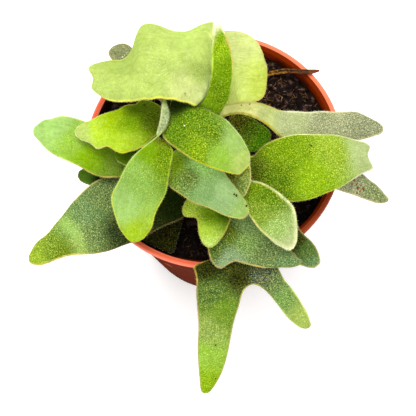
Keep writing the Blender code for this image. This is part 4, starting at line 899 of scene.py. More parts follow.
def new_look(name):
    """A material with only its output node and shader, and a bench to wire it."""
    look = bpy.data.materials.new(name)
    look.use_nodes = True
    return look, Bench(look.node_tree), look.node_tree.nodes["Principled BSDF"]


def rough_with(bench, shader, height, distance, strength=1.0):
    """Bend the normals of a shader by a height pattern."""
    bump = bench.node("Bump")
    bump.inputs["Strength"].default_value = strength
    bump.inputs["Distance"].default_value = distance
    bench.feed(height, bump.inputs["Height"])
    bench.feed(bump.outputs[0], shader.inputs["Normal"])


def frond_look(name, group):
    """A frond's skin: the hairs, veins and margin over the colours kept in its mesh."""
    look, bench, shader = new_look(name + " skin")
    tint = bench.node("Attribute", attribute_name="tint")
    margin = bench.node("Attribute", attribute_name="margin")
    run = bench.node("Attribute", attribute_name="run")
    layer = bench.node("Group", node_tree=group)
    edge = bench.node("Attribute", attribute_name="rim")
    bench.feed(tint.outputs["Color"], layer.inputs["Tint"])
    bench.feed(tint.outputs["Alpha"], layer.inputs["Hairs"])
    bench.feed(edge.outputs["Color"], layer.inputs["Rim"])
    bench.feed(edge.outputs["Alpha"], layer.inputs["Rim Width"])
    bench.feed(margin.outputs["Fac"], layer.inputs["Margin"])
    bench.feed(run.outputs["Vector"], layer.inputs["Run"])
    bench.feed(layer.outputs["Colour"], shader.inputs["Base Color"])
    bench.feed(layer.outputs["Roughness"], shader.inputs["Roughness"])
    rough_with(bench, shader, layer.outputs["Height"], SKIN_BUMP, 0.8)
    shader.inputs["Specular IOR Level"].default_value = 0.0
    shader.inputs["Subsurface Weight"].default_value = 0.05
    shader.inputs["Subsurface Radius"].default_value = (0.6, 1.0, 0.2)
    shader.inputs["Subsurface Scale"].default_value = 0.0015
    return look


def hair_look():
    """Pale hairs that take their colour from the margin they grow on."""
    look, bench, shader = new_look("margin hair")
    edge = bench.node("Attribute", attribute_name="rim")
    place = bench.place()
    pale = bench.mix(bench.ramp(bench.noise(place, 900.0), 0.3, 0.7, 0.3, 0.6), edge.outputs[0],
                     FUZZ_PALE)
    bench.feed(pale, shader.inputs["Base Color"])
    shader.inputs["Roughness"].default_value = 0.9
    shader.inputs["Specular IOR Level"].default_value = 0.02


def mottle_layer(bench, group, colours, patch, grain, amount):
    """The mottle group placed in a material with the material's own values."""
    layer = bench.node("Group", node_tree=group)
    for label, rgb in colours.items():
        layer.inputs[label].default_value = paint(rgb)
    layer.inputs["Patch"].default_value = patch
    layer.inputs["Grain"].default_value = grain
    layer.inputs["Amount"].default_value = amount
    return layer


def mottled_look(name, group):
    """A dry or dull finish from the table, as its material, bench, shader and layer."""
    colour, dark, pale, patch, grain, amount, roughness, bump = FINISHES[name]
    look, bench, shader = new_look(name)
    layer = mottle_layer(bench, group, {"Colour": colour, "Dark": dark, "Pale": pale},
                         patch, grain, amount)
    bench.feed(layer.outputs["Colour"], shader.inputs["Base Color"])
    shader.inputs["Roughness"].default_value = roughness
    shader.inputs["Specular IOR Level"].default_value = 0.06
    rough_with(bench, shader, layer.outputs["Height"], bump)
    return look, bench, shader, layer


def peat_look(name, group):
    """Peat, with painted shade that darkens it towards the front of the pot."""
    look, bench, shader, layer = mottled_look(name, group)
    apart = bench.apart(bench.place())
    # painted shade towards the front of the pot
    front = bench.ramp(bench.math("ADD", apart["X"], apart["Y"]), *PEAT_SHADE_SUM)
    wet_and_shaded = bench.mix(front, layer.outputs["Colour"], PEAT_SHADE_BLACK)
    bench.feed(wet_and_shaded, shader.inputs["Base Color"])
    return look


# Fronds


def cross_line(row, shares, notch=None):
    """Points of a cross row at shares (0 left margin, 1 right margin) of its width."""
    left = np.array(row[0:3], float)
    right = np.array(row[3:6], float)
    s = shares[:, None]
    if notch is None:
        line = left * (1 - s) + right * s
        line[:, 2] += row[6] * 4 * shares * (1 - shares)
        return line
    tip = np.array(notch[:3], float)
    part = notch[3]
    near = left + (tip - left) * s / part
    far = tip + (right - tip) * (s - part) / (1 - part)
    return np.where(s < part, near, far)


def follow(lines, marks, place):
    """The cross line at a place along the blade, on smooth curves through the given rows."""
    index = min(max(int(np.searchsorted(marks, place)) - 1, 0), len(lines) - 2)
    here, ahead = lines[index], lines[index + 1]
    span = marks[index + 1] - marks[index]
    t = (place - marks[index]) / span
    pointed = len(here) > 1 and np.linalg.norm(lines[-1][0] - lines[-1][-1]) < CLOSED
    if pointed and index == len(lines) - 2:
        middle = (here[0] + here[-1]) / 2
        turn = t * math.pi / 2
        return (middle + (ahead - middle) * math.sin(turn) + (here - middle) * math.cos(turn))
    slope_a = slope_b = (ahead - here) / span
    if index > 0:
        slope_a = (ahead - lines[index - 1]) / (marks[index + 1] - marks[index - 1])
    if index < len(lines) - (3 if pointed else 2):
        slope_b = (lines[index + 2] - here) / (marks[index + 2] - marks[index])
    return ((2 * t ** 3 - 3 * t ** 2 + 1) * here + (t ** 3 - 2 * t ** 2 + t) * span * slope_a
            + (3 * t ** 2 - 2 * t ** 3) * ahead + (t ** 3 - t ** 2) * span * slope_b)


def lay_blade(sheet, rows, shares, first, notch, phase, so_far):
    """Add the cross rows of a blade or lobe, quad by quad, and return its last row."""
    lines = [cross_line(row, shares) for row in rows]
    thirds = np.array([0.0, 0.5, 1.0])
    gauge = [cross_line(row, thirds) for row in rows]
    if notch:
        lines[-1] = cross_line(rows[-1], shares, notch)
        gauge[-1] = cross_line(rows[-1], thirds, notch)
    marks = [0.0]
    for one, two in zip(gauge, gauge[1:]):
        marks.append(marks[-1] + float(np.linalg.norm(two - one, axis=1).max()))
    places = []
    for one, two in zip(marks, marks[1:]):
        places.extend(np.linspace(one, two, max(1, math.ceil((two - one) / ROW_STEP)),
                                  endpoint=False))
    places.append(marks[-1])
    last = first
    for place in places[1 if first else 0:]:
        line = follow(lines, marks, place)
        width = float(np.linalg.norm(line[0] - line[-1]))
        margin = min(1.0, width / WAVE_WIDTH) * (2 * shares - 1) ** 2
        side = np.where(shares > 0.5, WAVE_OFFSET, 0.0)
        line[:, 2] += WAVE * margin * np.sin(2 * np.pi * place / WAVE_LENGTH + phase + side)
        closing = width < CLOSED
        row = []
        for k, point in enumerate(line[:1] if closing else line):
            row.append(len(sheet["points"]))
            sheet["points"].append(point)
            sheet["run"].append((so_far + place, (shares[k] - 0.5) * width))
        if last is None:
            sheet["root"] = list(row)
        elif closing:
            sheet["faces"] += [(last[k], last[k + 1], row[0]) for k in range(len(last) - 1)]
        else:
            sheet["faces"] += [(last[k], last[k + 1], row[k + 1], row[k])
                               for k in range(len(last) - 1)]
        last = row
    return last, so_far + marks[-1]


def spread_shares(width, part=None):
    """Evenly spaced shares across a blade, with one of them on the fork or notch."""
    count = max(4, round(width / COLUMN_STEP))
    if part is None:
        return np.linspace(0, 1, count + 1), None
    split = max(2, round(count * part))
    return (np.concatenate([np.linspace(0, part, split + 1)[:-1],
                            np.linspace(part, 1, max(2, count - split) + 1)]), split)


def blade_width(rows):
    """The widest of a blade's cross rows."""
    return max(float(np.linalg.norm(np.subtract(row[3:6], row[0:3]))) for row in rows)


def lay_frond(name, phase):
    """The frond's middle sheet: points, faces, place along it and the points of its root."""
    sheet = {"points": [], "faces": [], "run": []}
    rows = FRONDS[name]
    fork = FORKS.get(name)
    notch = fork[0] if fork else NOTCHES.get(name)
    shares, split = spread_shares(blade_width(rows), notch[3] if notch else None)
    last, length = lay_blade(sheet, rows, shares, None, notch, phase, 0.0)
    if fork:
        tip, end = fork[0][:3], rows[-1]
        part = fork[0][3]
        lobe_a = [(*end[0:3], *tip, 0)] + fork[1]
        lobe_b = [(*tip, *end[3:6], 0)] + fork[2]
        lay_blade(sheet, lobe_a, shares[:split + 1] / part, last[:split + 1], None, phase, length)
        lay_blade(sheet, lobe_b, (shares[split:] - part) / (1 - part), last[split:], None,
                  phase, length)
    return sheet


def rim_edges(faces):
    """Edges of a sheet that only one face uses, in the way that the face runs round."""
    used = set()
    for face in faces:
        for a, b in zip(face, face[1:] + face[:1]):
            used.add((a, b))
    return [(a, b) for a, b in used if (b, a) not in used], used


def ease(points, edges, rim, held, passes):
    """Even a sheet out: rim points only follow their rim, the others all their neighbours."""
    on_rim = np.zeros(len(points), bool)
    on_rim[rim.ravel()] = True
    pairs = np.concatenate([edges[~on_rim[edges[:, 0]]], rim, rim[:, ::-1]])
    count = np.zeros(len(points))
    np.add.at(count, pairs[:, 0], 1)
    for _ in range(passes):
        total = np.zeros_like(points)
        np.add.at(total, pairs[:, 0], points[pairs[:, 1]])
        mean = total / np.maximum(count, 1)[:, None]
        mean[held] = points[held]
        points = points * 0.5 + mean * 0.5
    return points


def sheet_normals(points, faces):
    """The direction straight out of the sheet at each of its points."""
    normals = np.zeros_like(points)
    for face in faces:
        a, b = points[face[0]], points[face[2]]
        c, d = points[face[1]], points[face[-1]]
        area = np.cross(b - a, d - c)
        for n in face:
            normals[n] += area
    length = np.linalg.norm(normals, axis=1)[:, None]
    return normals / np.maximum(length, TINY)


def brush_colours(points, brush):
    """Colour and strength laid on by the brush strokes, melting into each other."""
    total = np.zeros((len(points), 4))
    weights = np.zeros(len(points))
    for x, y, rgb, strength in brush:
        gap = (points[:, 0] - x) ** 2 + (points[:, 1] - y) ** 2
        weight = 1 / (gap + BRUSH_SOFT) ** 2
        total += weight[:, None] * np.array((*linear(rgb), strength))
        weights += weight
    return total / weights[:, None]


def nudge(name, points):
    """Push the sheet at the places in the table."""
    for x, y, *push, reach in NUDGES.get(name, ()):
        near = np.exp(-((points[:, 0] - x) ** 2 + (points[:, 1] - y) ** 2) / (2 * reach ** 2))
        points += near[:, None] * np.array(push)


def swell_up(points, faces, along, phase):
    """Raise shallow swellings all over a blade, fading out towards its root."""
    grown = np.clip(along / GROWN_LENGTH, 0, 1)
    seed = Vector((phase * 7, phase * 3, phase))
    swell = np.array([sum(noise.noise(Vector(p) / size + seed) * height
                          for size, height in SWELL) for p in points])
    return points + sheet_normals(points, faces) * (swell * grown)[:, None]


def frond_tints(name, points, along):
    """Colour and hairs of the upper and lower skin, greener towards the root."""
    strokes = [(x, y, GREENS[green], hairs) for x, y, green, hairs in SKINS[name]["brush"]]
    tint = brush_colours(points, strokes)
    for x, y, rgb, reach, cover in DABS.get(name, ()):
        gap = (points[:, 0] - x) ** 2 + (points[:, 1] - y) ** 2
        share = (cover * np.exp(-gap / (2 * reach ** 2)))[:, None]
        tint = tint * (1 - share) + np.array((*linear(rgb), DAB_HAIRS)) * share
    root = np.clip(1 - along / ROOT_LENGTH, 0, 1)[:, None] ** 1.5 * ROOT_SHARE
    root_tint = np.array((*linear(ROOT_GREEN), ROOT_HAIRS))
    tint = tint * (1 - root) + root_tint * root
    under = tint * (1 - UNDER_SHARE) + np.array((*linear(UNDER_GREEN), 1.0)) * UNDER_SHARE
    return tint, under * (1 - root) + root_tint * root


def keep_values(piece, name, kind, field, values):
    """Store a value for each point of the mesh, for its material to read."""
    colour = kind == "FLOAT_COLOR"
    store = piece.data.color_attributes if colour else piece.data.attributes
    layer = store.new(name=name, type=kind, domain="POINT")
    layer.data.foreach_set(field, np.asarray(values).ravel())


def make_frond(name, phase, look):
    """One frond's blade with a rounded margin, its colours and the hairs along its margin."""
    sheet = lay_frond(name, phase)
    faces = sheet["faces"]
    points = np.array(sheet["points"], float)
    rim, used = rim_edges(faces)
    rim_pairs = np.array(rim)
    edges = np.array(sorted(used | {(b, a) for a, b in used}))
    points = ease(points, edges, rim_pairs, sheet["root"], EASE_PASSES)
    nudge(name, points)
    run = np.array(sheet["run"])
    points = swell_up(points, faces, run[:, 0], phase)
    normals = sheet_normals(points, faces)
    # how far each point lies from the margin, and the blade's thickness there
    edge_points = points[sorted(set(rim_pairs.ravel()) - set(sheet["root"]))]
    margin = np.min(np.linalg.norm(points[:, None, :] - edge_points[None, :, :], axis=2), axis=1)
    margin_share = np.clip(margin / RIM_TAPER, 0, 1)
    half = (RIM_BLADE + (BLADE - RIM_BLADE) * np.sin(margin_share * np.pi / 2)) / 2
    upper = points + normals * half[:, None]
    lower = points - normals * half[:, None]
    # the rounded margin: one more row of points pushed out between the two skins
    out = np.zeros_like(points)
    for a, b in rim:
        sideways = np.cross(points[b] - points[a], normals[a])
        out[a] += sideways
        out[b] += sideways
    rim_points = sorted(set(rim_pairs.ravel()))
    number = {n: k for k, n in enumerate(rim_points)}
    push = out[rim_points]
    push /= np.maximum(np.linalg.norm(push, axis=1)[:, None], TINY)
    lips = points[rim_points] + push * RIM_BLADE * LIP_BULGE
    count = len(points)
    skin = [tuple(f) for f in faces] + [tuple(n + count for n in reversed(f)) for f in faces]
    for a, b in rim:
        lip_a, lip_b = 2 * count + number[a], 2 * count + number[b]
        skin.append((b, a, lip_a, lip_b))
        skin.append((lip_b, lip_a, a + count, b + count))
    piece = put(name + "_leaf", np.concatenate([upper, lower, lips]), skin, [look])
    tint, under = frond_tints(name, points, run[:, 0])
    edge_tint = brush_colours(points, SKINS[name]["rim"])
    flat = np.column_stack([run, np.zeros(count)])
    keep_values(piece, "tint", "FLOAT_COLOR", "color",
                np.concatenate([tint, under, tint[rim_points]]))
    keep_values(piece, "rim", "FLOAT_COLOR", "color",
                np.concatenate([edge_tint, edge_tint, edge_tint[rim_points]]))
    keep_values(piece, "margin", "FLOAT", "value",
                np.concatenate([margin, margin, np.zeros(len(rim_points))]))
    keep_values(piece, "run", "FLOAT_VECTOR", "vector",
                np.concatenate([flat, flat, flat[rim_points]]))
    settle(piece, name)
    make_fuzz(name, rim, number, lips, push, normals, edge_tint, len(sheet["root"]))


def make_fuzz(name, rim, number, lips, push, normals, edge_tint, rooted):
    """Short pale hairs standing out from the frond's margin."""
    rng = random.Random(SEED + 7 * len(rim) + rooted)
    points, faces, colours = [], [], []
    for a, b in rim:
        for _ in range(FUZZ_PER_EDGE):
            share = rng.random()
            foot = lips[number[a]] * (1 - share) + lips[number[b]] * share
            out, over = push[number[a]], normals[a]
            along = np.cross(out, over)
            lean = (out + over * rng.uniform(*FUZZ_LEAN[0])
                    + along * rng.uniform(*FUZZ_LEAN[1]))
            lean /= np.linalg.norm(lean)
            tip = foot + lean * rng.uniform(*FUZZ_LENGTH)
            first = len(points)
            for corner in range(3):
                turn = 2 * math.pi * corner / 3
                points.append(foot - out * 0.05 + FUZZ_HALF * (along * math.cos(turn)
                                                              + over * math.sin(turn)))
            points.append(tip)
            colours.extend([edge_tint[a]] * 4)
            faces += [(first, first + 2, first + 1), (first, first + 1, first + 3),
                      (first + 1, first + 2, first + 3), (first + 2, first, first + 3)]
    fuzz = put(name + "_fuzz", points, faces, [bpy.data.materials["margin hair"]])
    keep_values(fuzz, "rim", "FLOAT_COLOR", "color", colours)
    recalc(fuzz)
    settle(fuzz, None)


# Pot


def wall_radius(height):
    """Radius of the pot's inner wall at a height below the lip."""
    share = (height - FLOOR) / (POT_HEIGHT - LIP_HEIGHT - FLOOR)
    low = BASE_RADIUS - WALL
    high = BODY_TOP_RADIUS - WALL
    return low + (high - low) * share


def raise_rings(rings):
    """In edit mode, extrude the selected end face through rings of radius and height."""
    radius, height = rings[0]
    for next_radius, next_height in rings[1:]:
        bpy.ops.mesh.extrude_region_move(
            TRANSFORM_OT_translate={"value": (0, 0, (next_height - height) * MM)})
        ratio = next_radius / radius
        bpy.ops.transform.resize(value=(ratio, ratio, 1), center_override=(0, 0, next_height * MM))
        radius, height = next_radius, next_height


def start_disc(name, radius, height, sides):
    """A flat round face in edit mode, for a turned piece to be raised from."""
    bpy.ops.object.select_all(action="DESELECT")
    bpy.ops.mesh.primitive_circle_add(vertices=sides, radius=radius * MM, fill_type="NGON",
                                      location=(0, 0, height * MM))
    piece = bpy.context.object
    piece.name = name
    piece.data.name = name
    bpy.ops.object.transform_apply(location=True)
    bpy.ops.object.mode_set(mode="EDIT")
    bpy.ops.mesh.select_all(action="SELECT")
    return piece


def face_outwards():
    """In edit mode, merge doubles, turn every face outwards and leave edit mode."""
    bpy.ops.mesh.select_all(action="SELECT")
    bpy.ops.mesh.remove_doubles(threshold=1e-6)
    bpy.ops.mesh.normals_make_consistent(inside=False)
    bpy.ops.object.mode_set(mode="OBJECT")


def make_pot(look):
    """The pot, turned ring by ring from its foot over its lip to its floor, with drilled holes."""
    under_lip = POT_HEIGHT - LIP_HEIGHT
    body = [(BASE_RADIUS + (BODY_TOP_RADIUS - BASE_RADIUS) * k / BODY_RINGS,
             EDGE + (under_lip - EDGE) * k / BODY_RINGS) for k in range(1, BODY_RINGS + 1)]
    groove = [(MOUTH_RADIUS + out, POT_HEIGHT - deep) for out, deep in LIP_RING]
    inner = [(wall_radius(h), h) for h in (under_lip, *INNER_RINGS)]
    rings = [(BASE_RADIUS - EDGE, 0.0), (BASE_RADIUS, EDGE)] + body + [
        (LIP_RADIUS - LIP_EDGE, under_lip), (LIP_RADIUS, under_lip + LIP_EDGE),
        (LIP_RADIUS, POT_HEIGHT - LIP_EDGE), (LIP_RADIUS - LIP_EDGE, POT_HEIGHT)] + groove + [
        (MOUTH_RADIUS + LIP_EDGE, POT_HEIGHT), (MOUTH_RADIUS, POT_HEIGHT - LIP_EDGE)] + inner + [
        (wall_radius(FLOOR + FLOOR_CORNER), FLOOR + FLOOR_CORNER),
        (wall_radius(FLOOR) - FLOOR_CORNER, FLOOR)]
    pot = start_disc("pot_shell", *rings[0], SIDES)
    raise_rings(rings)
    face_outwards()
    for k in range(HOLES):
        angle = 2 * math.pi * (k + 0.5) / HOLES
        bpy.ops.object.select_all(action="DESELECT")
        bpy.ops.mesh.primitive_cylinder_add(
            vertices=HOLE_SIDES, radius=HOLE_RADIUS * MM, depth=4 * FLOOR * MM,
            location=(HOLE_RING * math.cos(angle) * MM, HOLE_RING * math.sin(angle) * MM, 0))
        drill = bpy.context.object
        hole = pot.modifiers.new("drain", "BOOLEAN")
        hole.operation = "DIFFERENCE"
        hole.object = drill
        finish_modifiers(pot)
        bpy.data.objects.remove(drill, do_unlink=True)
    edges = pot.modifiers.new("soft edges", "BEVEL")
    edges.width = POT_BEVEL * MM
    edges.segments = 2
    edges.limit_method = "ANGLE"
    edges.angle_limit = math.radians(28)
    finish_modifiers(pot)
    pot.data.materials.clear()
    pot.data.materials.append(look)
    only(pot)
    bpy.ops.object.shade_smooth_by_angle(angle=math.radians(30))
    settle(pot, "pot")


def pot_look(group):
    """Terracotta coloured plastic, with painted light and painted highlights on the lip, painted
    shade at the lip's front right, below the lip and on the inner wall, and some peat dirt low
    inside.
    """
    look, bench, shader = new_look("terracotta plastic")
    layer = mottle_layer(bench, group, POT_SKIN, POT_PATCH, POT_GRAIN, POT_AMOUNT)
    place = bench.place()
    apart = bench.apart(place)
    height = apart["Z"]
    reach = bench.math("SQRT", bench.math("ADD", bench.math("MULTIPLY", apart["X"], apart["X"]),
                                          bench.math("MULTIPLY", apart["Y"], apart["Y"])))
    side_sum = bench.math("ADD", apart["X"], apart["Y"])
    clouds = bench.noise(place, 90.0, 3.0)
    # the lip: saturated on its flat face, with painted highlights on its outer edge and inner
    # corner, painted light at the back right and painted shade at the front right
    painted_highlight = bench.math("MAXIMUM", bench.ramp(reach, *ROLL_RADII),
                        bench.math("MULTIPLY", bench.ramp(reach, *CORNER_RADII),
                                   bench.ramp(height, *CORNER_HEIGHTS)))
    lip = bench.mix(bench.math("MULTIPLY", bench.ramp(side_sum, *FAR_SUM), 0.8),
                    layer.outputs["Colour"], paint(LIP_FAR_LIGHT))
    lip = bench.mix(painted_highlight, lip, paint(LIP_HIGHLIGHT))
    shade = bench.ramp(bench.math("SUBTRACT", apart["X"], apart["Y"]), *SHADED_DIFFERENCE)
    lip = bench.mix(shade, lip, paint(LIP_SHADED))
    # painted shade darkens the body under the lip, and the body has a lighter mark and a dark dot
    under = bench.math("MULTIPLY", bench.ramp(height, *BODY_HEIGHTS),
                       bench.ramp(clouds, 0.3, 0.6, 0.97, 1.0))
    body = bench.mix(under, lip, paint(BODY_SHADE))
    for spot, size, cover, rgb in WALL_MARKS:
        gap = bench.node("VectorMath", operation="DISTANCE")
        bench.feed(place, gap.inputs[0])
        gap.inputs[1].default_value = [c * MM for c in spot]
        body = bench.mix(bench.ramp(gap.outputs["Value"], size * MM, size * MM * 0.4, 0.0, cover),
                         body, paint(rgb))
    # the inner wall takes a dark painted shade colour, darkest at the left, and lower down more
    # painted shade with an uneven line of peat dirt
    skin_middle = bench.math("MULTIPLY_ADD", height, WALL_SLOPE, WALL_START)
    flare = bench.math("MULTIPLY", bench.math("GREATER_THAN", height, FLARE_START),
                       bench.ramp(side_sum, *FLARE_SUM))
    inside = bench.math("MULTIPLY",
                        bench.math("LESS_THAN", reach, bench.math("ADD", skin_middle, flare)),
                        bench.math("LESS_THAN", height, MOUTH_TOP))
    wall_dirt_and_shade = bench.mix(bench.ramp(apart["X"], *LEFT_WALL_SHADE_X), paint(INNER_WALL_SHADE), paint(LEFT_WALL_SHADE))
    low = bench.ramp(bench.math("ADD", height, bench.math("MULTIPLY", clouds, 0.008)),
                     *LOW_WALL_DIRT_AND_SHADE_HEIGHTS)
    wall_dirt_and_shade = bench.mix(bench.math("MULTIPLY", low, 0.75), wall_dirt_and_shade, paint(LOW_WALL_DIRT_AND_SHADE))
    shaded_and_soiled = bench.mix(inside, body, wall_dirt_and_shade)
    bench.feed(shaded_and_soiled, shader.inputs["Base Color"])
    bench.feed(bench.ramp(layer.outputs["Height"], 0.3, 0.7, 0.38, 0.55, soft=False),
               shader.inputs["Roughness"])
    rough_with(bench, shader, layer.outputs["Height"], 0.0002, 0.6)
    shader.inputs["Specular IOR Level"].default_value = 0.0
    return look


# Soil, crown and dry pieces


def spot_on_disc(rng, inner, radius):
    """A random place on a disc, spread evenly outside the inner share of its area."""
    angle, across = rng.uniform(0, 2 * math.pi), math.sqrt(rng.uniform(inner, 1)) * radius
    return across * math.cos(angle), across * math.sin(angle)


def make_soil(looks):
    """The peat: a body that fills the pot, a clumpy top, crumbs and fibres on it."""
    rng = random.Random(SEED + 40)
    rings = [(wall_radius(FLOOR) - FLOOR_CORNER - GAP, FLOOR + GAP),
             (wall_radius(FLOOR + FLOOR_CORNER + GAP) - GAP, FLOOR + FLOOR_CORNER + GAP),
             (wall_radius(SOIL_EDGE) - GAP, SOIL_EDGE)]
    edge = rings[-1][0]
    reach = edge
    while reach > 3:
        reach -= 1.0
        rings.append((reach, SOIL_EDGE - SOIL_DISH * (1 - (reach / edge) ** 2)))
    soil = start_disc("peat_bed", *rings[0], 2 * SIDES)
    raise_rings(rings)
    face_outwards()
    shape = bmesh.new()
    shape.from_mesh(soil.data)
    for vertex in shape.verts:
        place = vertex.co / MM
        across = math.hypot(place.x, place.y)
        if place.z > SOIL_EDGE - SOIL_DISH - 0.5 and across < edge - 0.5:
            lump = sum(noise.noise(place / size) * height for size, height in LUMPS)
            vertex.co.z += lump * min(1.0, (edge - across) / 3) * MM
            vertex.co.x += noise.noise(place / 2 + Vector((9, 0, 0))) * LUMP_SHIFT * MM
            vertex.co.y += noise.noise(place / 2 + Vector((0, 9, 0))) * LUMP_SHIFT * MM
    shape.to_mesh(soil.data)
    shape.free()
    soil.data.materials.clear()
    soil.data.materials.append(looks[0])
    points, faces, marks = [], [], []
    for _ in range(CRUMBS):
        x, y = spot_on_disc(rng, 0.03, edge - 2)
        if math.hypot(x - CROWN_X, y - CROWN_Y) < CROWN_RADIUS + 1:
            continue
        size = rng.choice(CRUMB_SIZES)
        add_crumb(points, faces, Vector((x, y, SOIL_EDGE - 0.4 + size * 0.4)), size, rng)
        marks += [rng.choice((0, 0, 1, 1, 2))] * (len(faces) - len(marks))
    for _ in range(FIBRES):
        x, y = spot_on_disc(rng, 0.1, edge - 2)
        if math.hypot(x - CROWN_X, y - CROWN_Y) < CROWN_RADIUS + 4:
            continue
        add_fibre(points, faces, Vector((x, y, SOIL_EDGE + 0.4)), rng.uniform(*FIBRE_LENGTH),
                  rng.uniform(*FIBRE_HALF), rng, edge)
        marks += [rng.choice((3, 3, 3, 2))] * (len(faces) - len(marks))
    litter = put("peat_litter", points, faces, looks, marks)
    litter.data.polygons.foreach_set("use_smooth", [False] * len(litter.data.polygons))
    only(soil)
    bpy.ops.object.shade_smooth_by_angle(angle=math.radians(40))
    settle(soil, "soil")
    settle(litter, None)


# Corners and faces of a crumb, and the faces of a papery scale.
BLOCK = [(-1, -1, -1), (1, -1, -1), (1, 1, -1), (-1, 1, -1), (0, -1.3, 0), (1.3, 0, 0),
         (0, 1.3, 0), (-1.3, 0, 0), (0, 0, 1.1)]
BLOCK_FACES = [(3, 2, 1, 0), (0, 1, 4), (1, 2, 5), (2, 3, 6), (3, 0, 7), (0, 4, 7), (4, 1, 5),
               (5, 2, 6), (6, 3, 7), (4, 8, 7), (4, 5, 8), (5, 6, 8), (6, 7, 8)]
SCALE_FACES = [(0, 3, 4), (3, 5, 4), (5, 2, 4), (2, 1, 4), (1, 0, 4), (0, 1, 2, 3), (3, 2, 5)]


def add_crumb(points, faces, place, size, rng):
    """A small broken lump, turned and squashed at random."""
    turn = Matrix.Rotation(rng.uniform(0, 2 * math.pi), 3, "Z") @ Matrix.Rotation(
        rng.uniform(-0.6, 0.6), 3, "X")
    flat = rng.uniform(0.45, 0.9)
    first = len(points)
    for corner in BLOCK:
        bent = Vector(corner) * rng.uniform(0.75, 1.25)
        bent.z *= flat
        points.append(place + turn @ bent * size * 0.6)
    faces.extend(tuple(first + n for n in face) for face in BLOCK_FACES)


def add_fibre(points, faces, place, length, thick, rng, edge):
    """A bent three sided fibre of a few steps."""
    heading = rng.uniform(0, 2 * math.pi)
    tilt = rng.uniform(-0.1, 0.3)
    first = len(points)
    spot = place.copy()
    for k in range(FIBRE_STEPS + 1):
        ahead = Vector((math.cos(heading), math.sin(heading), tilt)).normalized()
        side = ahead.cross(Vector((0, 0, 1))).normalized()
        up = side.cross(ahead)
        reach = math.hypot(spot.x, spot.y)
        if reach > edge - 0.5:
            spot.x *= (edge - 0.5) / reach
            spot.y *= (edge - 0.5) / reach
        half = thick * (1 - 0.6 * k / FIBRE_STEPS)
        for corner in range(3):
            angle = 2 * math.pi * corner / 3
            points.append(spot + side * half * math.cos(angle) + up * half * math.sin(angle))
        spot = spot + ahead * length / FIBRE_STEPS
        heading += rng.uniform(-FIBRE_TURN, FIBRE_TURN)
        tilt = max(-0.25, tilt - rng.uniform(0.0, 0.25))
    add_tube(faces, first, FIBRE_STEPS + 1, 3)


def add_tube(faces, first, rings, sides):
    """Faces round a closed tube whose rings of points follow each other."""
    faces.append(tuple(first + k for k in range(sides)))
    for i in range(rings - 1):
        low = first + i * sides
        for k in range(sides):
            n = (k + 1) % sides
            faces.append((low + k, low + sides + k, low + sides + n, low + n))
    last = first + (rings - 1) * sides
    faces.append(tuple(last + k for k in reversed(range(sides))))


def crown_radius(height):
    """Radius of the crown at a height: straight up to its shoulder, then domed."""
    if height <= CROWN_SHOULDER:
        return CROWN_RADIUS
    share = (height - CROWN_SHOULDER) / CROWN_RISE
    return CROWN_RADIUS * math.sqrt(max(0.0, 1 - share * share))


def make_crown(looks):
    """The rootstock under the fronds, covered with papery scales."""
    rng = random.Random(SEED + 50)
    points, faces = [], []
    heights = [CROWN_FOOT, 91, CROWN_SHOULDER] + [CROWN_SHOULDER + CROWN_RISE * math.sin(a)
                                                  for a in np.linspace(0.15, 1.5, 9)]
    for height in heights:
        for k in range(CROWN_SIDES):
            angle = 2 * math.pi * k / CROWN_SIDES
            radius = crown_radius(height) - (rng.uniform(0.3, 0.8) if height > 95 else 0.0)
            points.append((CROWN_X + radius * math.cos(angle),
                           CROWN_Y + radius * math.sin(angle), height))
    add_tube(faces, 0, len(heights), CROWN_SIDES)
    marks = [0] * len(faces)
    for _ in range(SCALES):
        height = CROWN_SHOULDER + CROWN_RISE * rng.uniform(0, 0.9)
        angle = rng.uniform(0, 2 * math.pi)
        radius = crown_radius(height) - 0.6
        foot = Vector((CROWN_X + radius * math.cos(angle), CROWN_Y + radius * math.sin(angle),
                       height))
        out = Vector((math.cos(angle), math.sin(angle), (height - 92) / 20)).normalized()
        side = out.cross(Vector((0, 0, 1))).normalized()
        up = side.cross(out)
        up = up if up.z > 0 else -up
        long, wide = rng.uniform(*SCALE_LENGTH), rng.uniform(*SCALE_HALF)
        lean = rng.uniform(*SCALE_LEAN)
        first = len(points)
        points += [foot - side * wide * 0.5, foot + side * wide * 0.5,
                   foot + up * long * 0.5 + out * (0.35 + lean) + side * wide,
                   foot + up * long * 0.5 + out * (0.35 + lean) - side * wide,
                   foot + up * long * 0.4 + out * 0.15,
                   foot + up * long + out * (lean * 2)]
        faces += [tuple(first + n for n in face) for face in SCALE_FACES]
        marks += [rng.choice((1, 1, 2))] * len(SCALE_FACES)
    crown = put("scaly_crown", points, faces, looks, marks)
    recalc(crown)
    settle(crown, "crown")


def recalc(piece):
    """Turn every face of a piece outwards."""
    shape = bmesh.new()
    shape.from_mesh(piece.data)
    bmesh.ops.recalc_face_normals(shape, faces=shape.faces)
    shape.to_mesh(piece.data)
    shape.free()


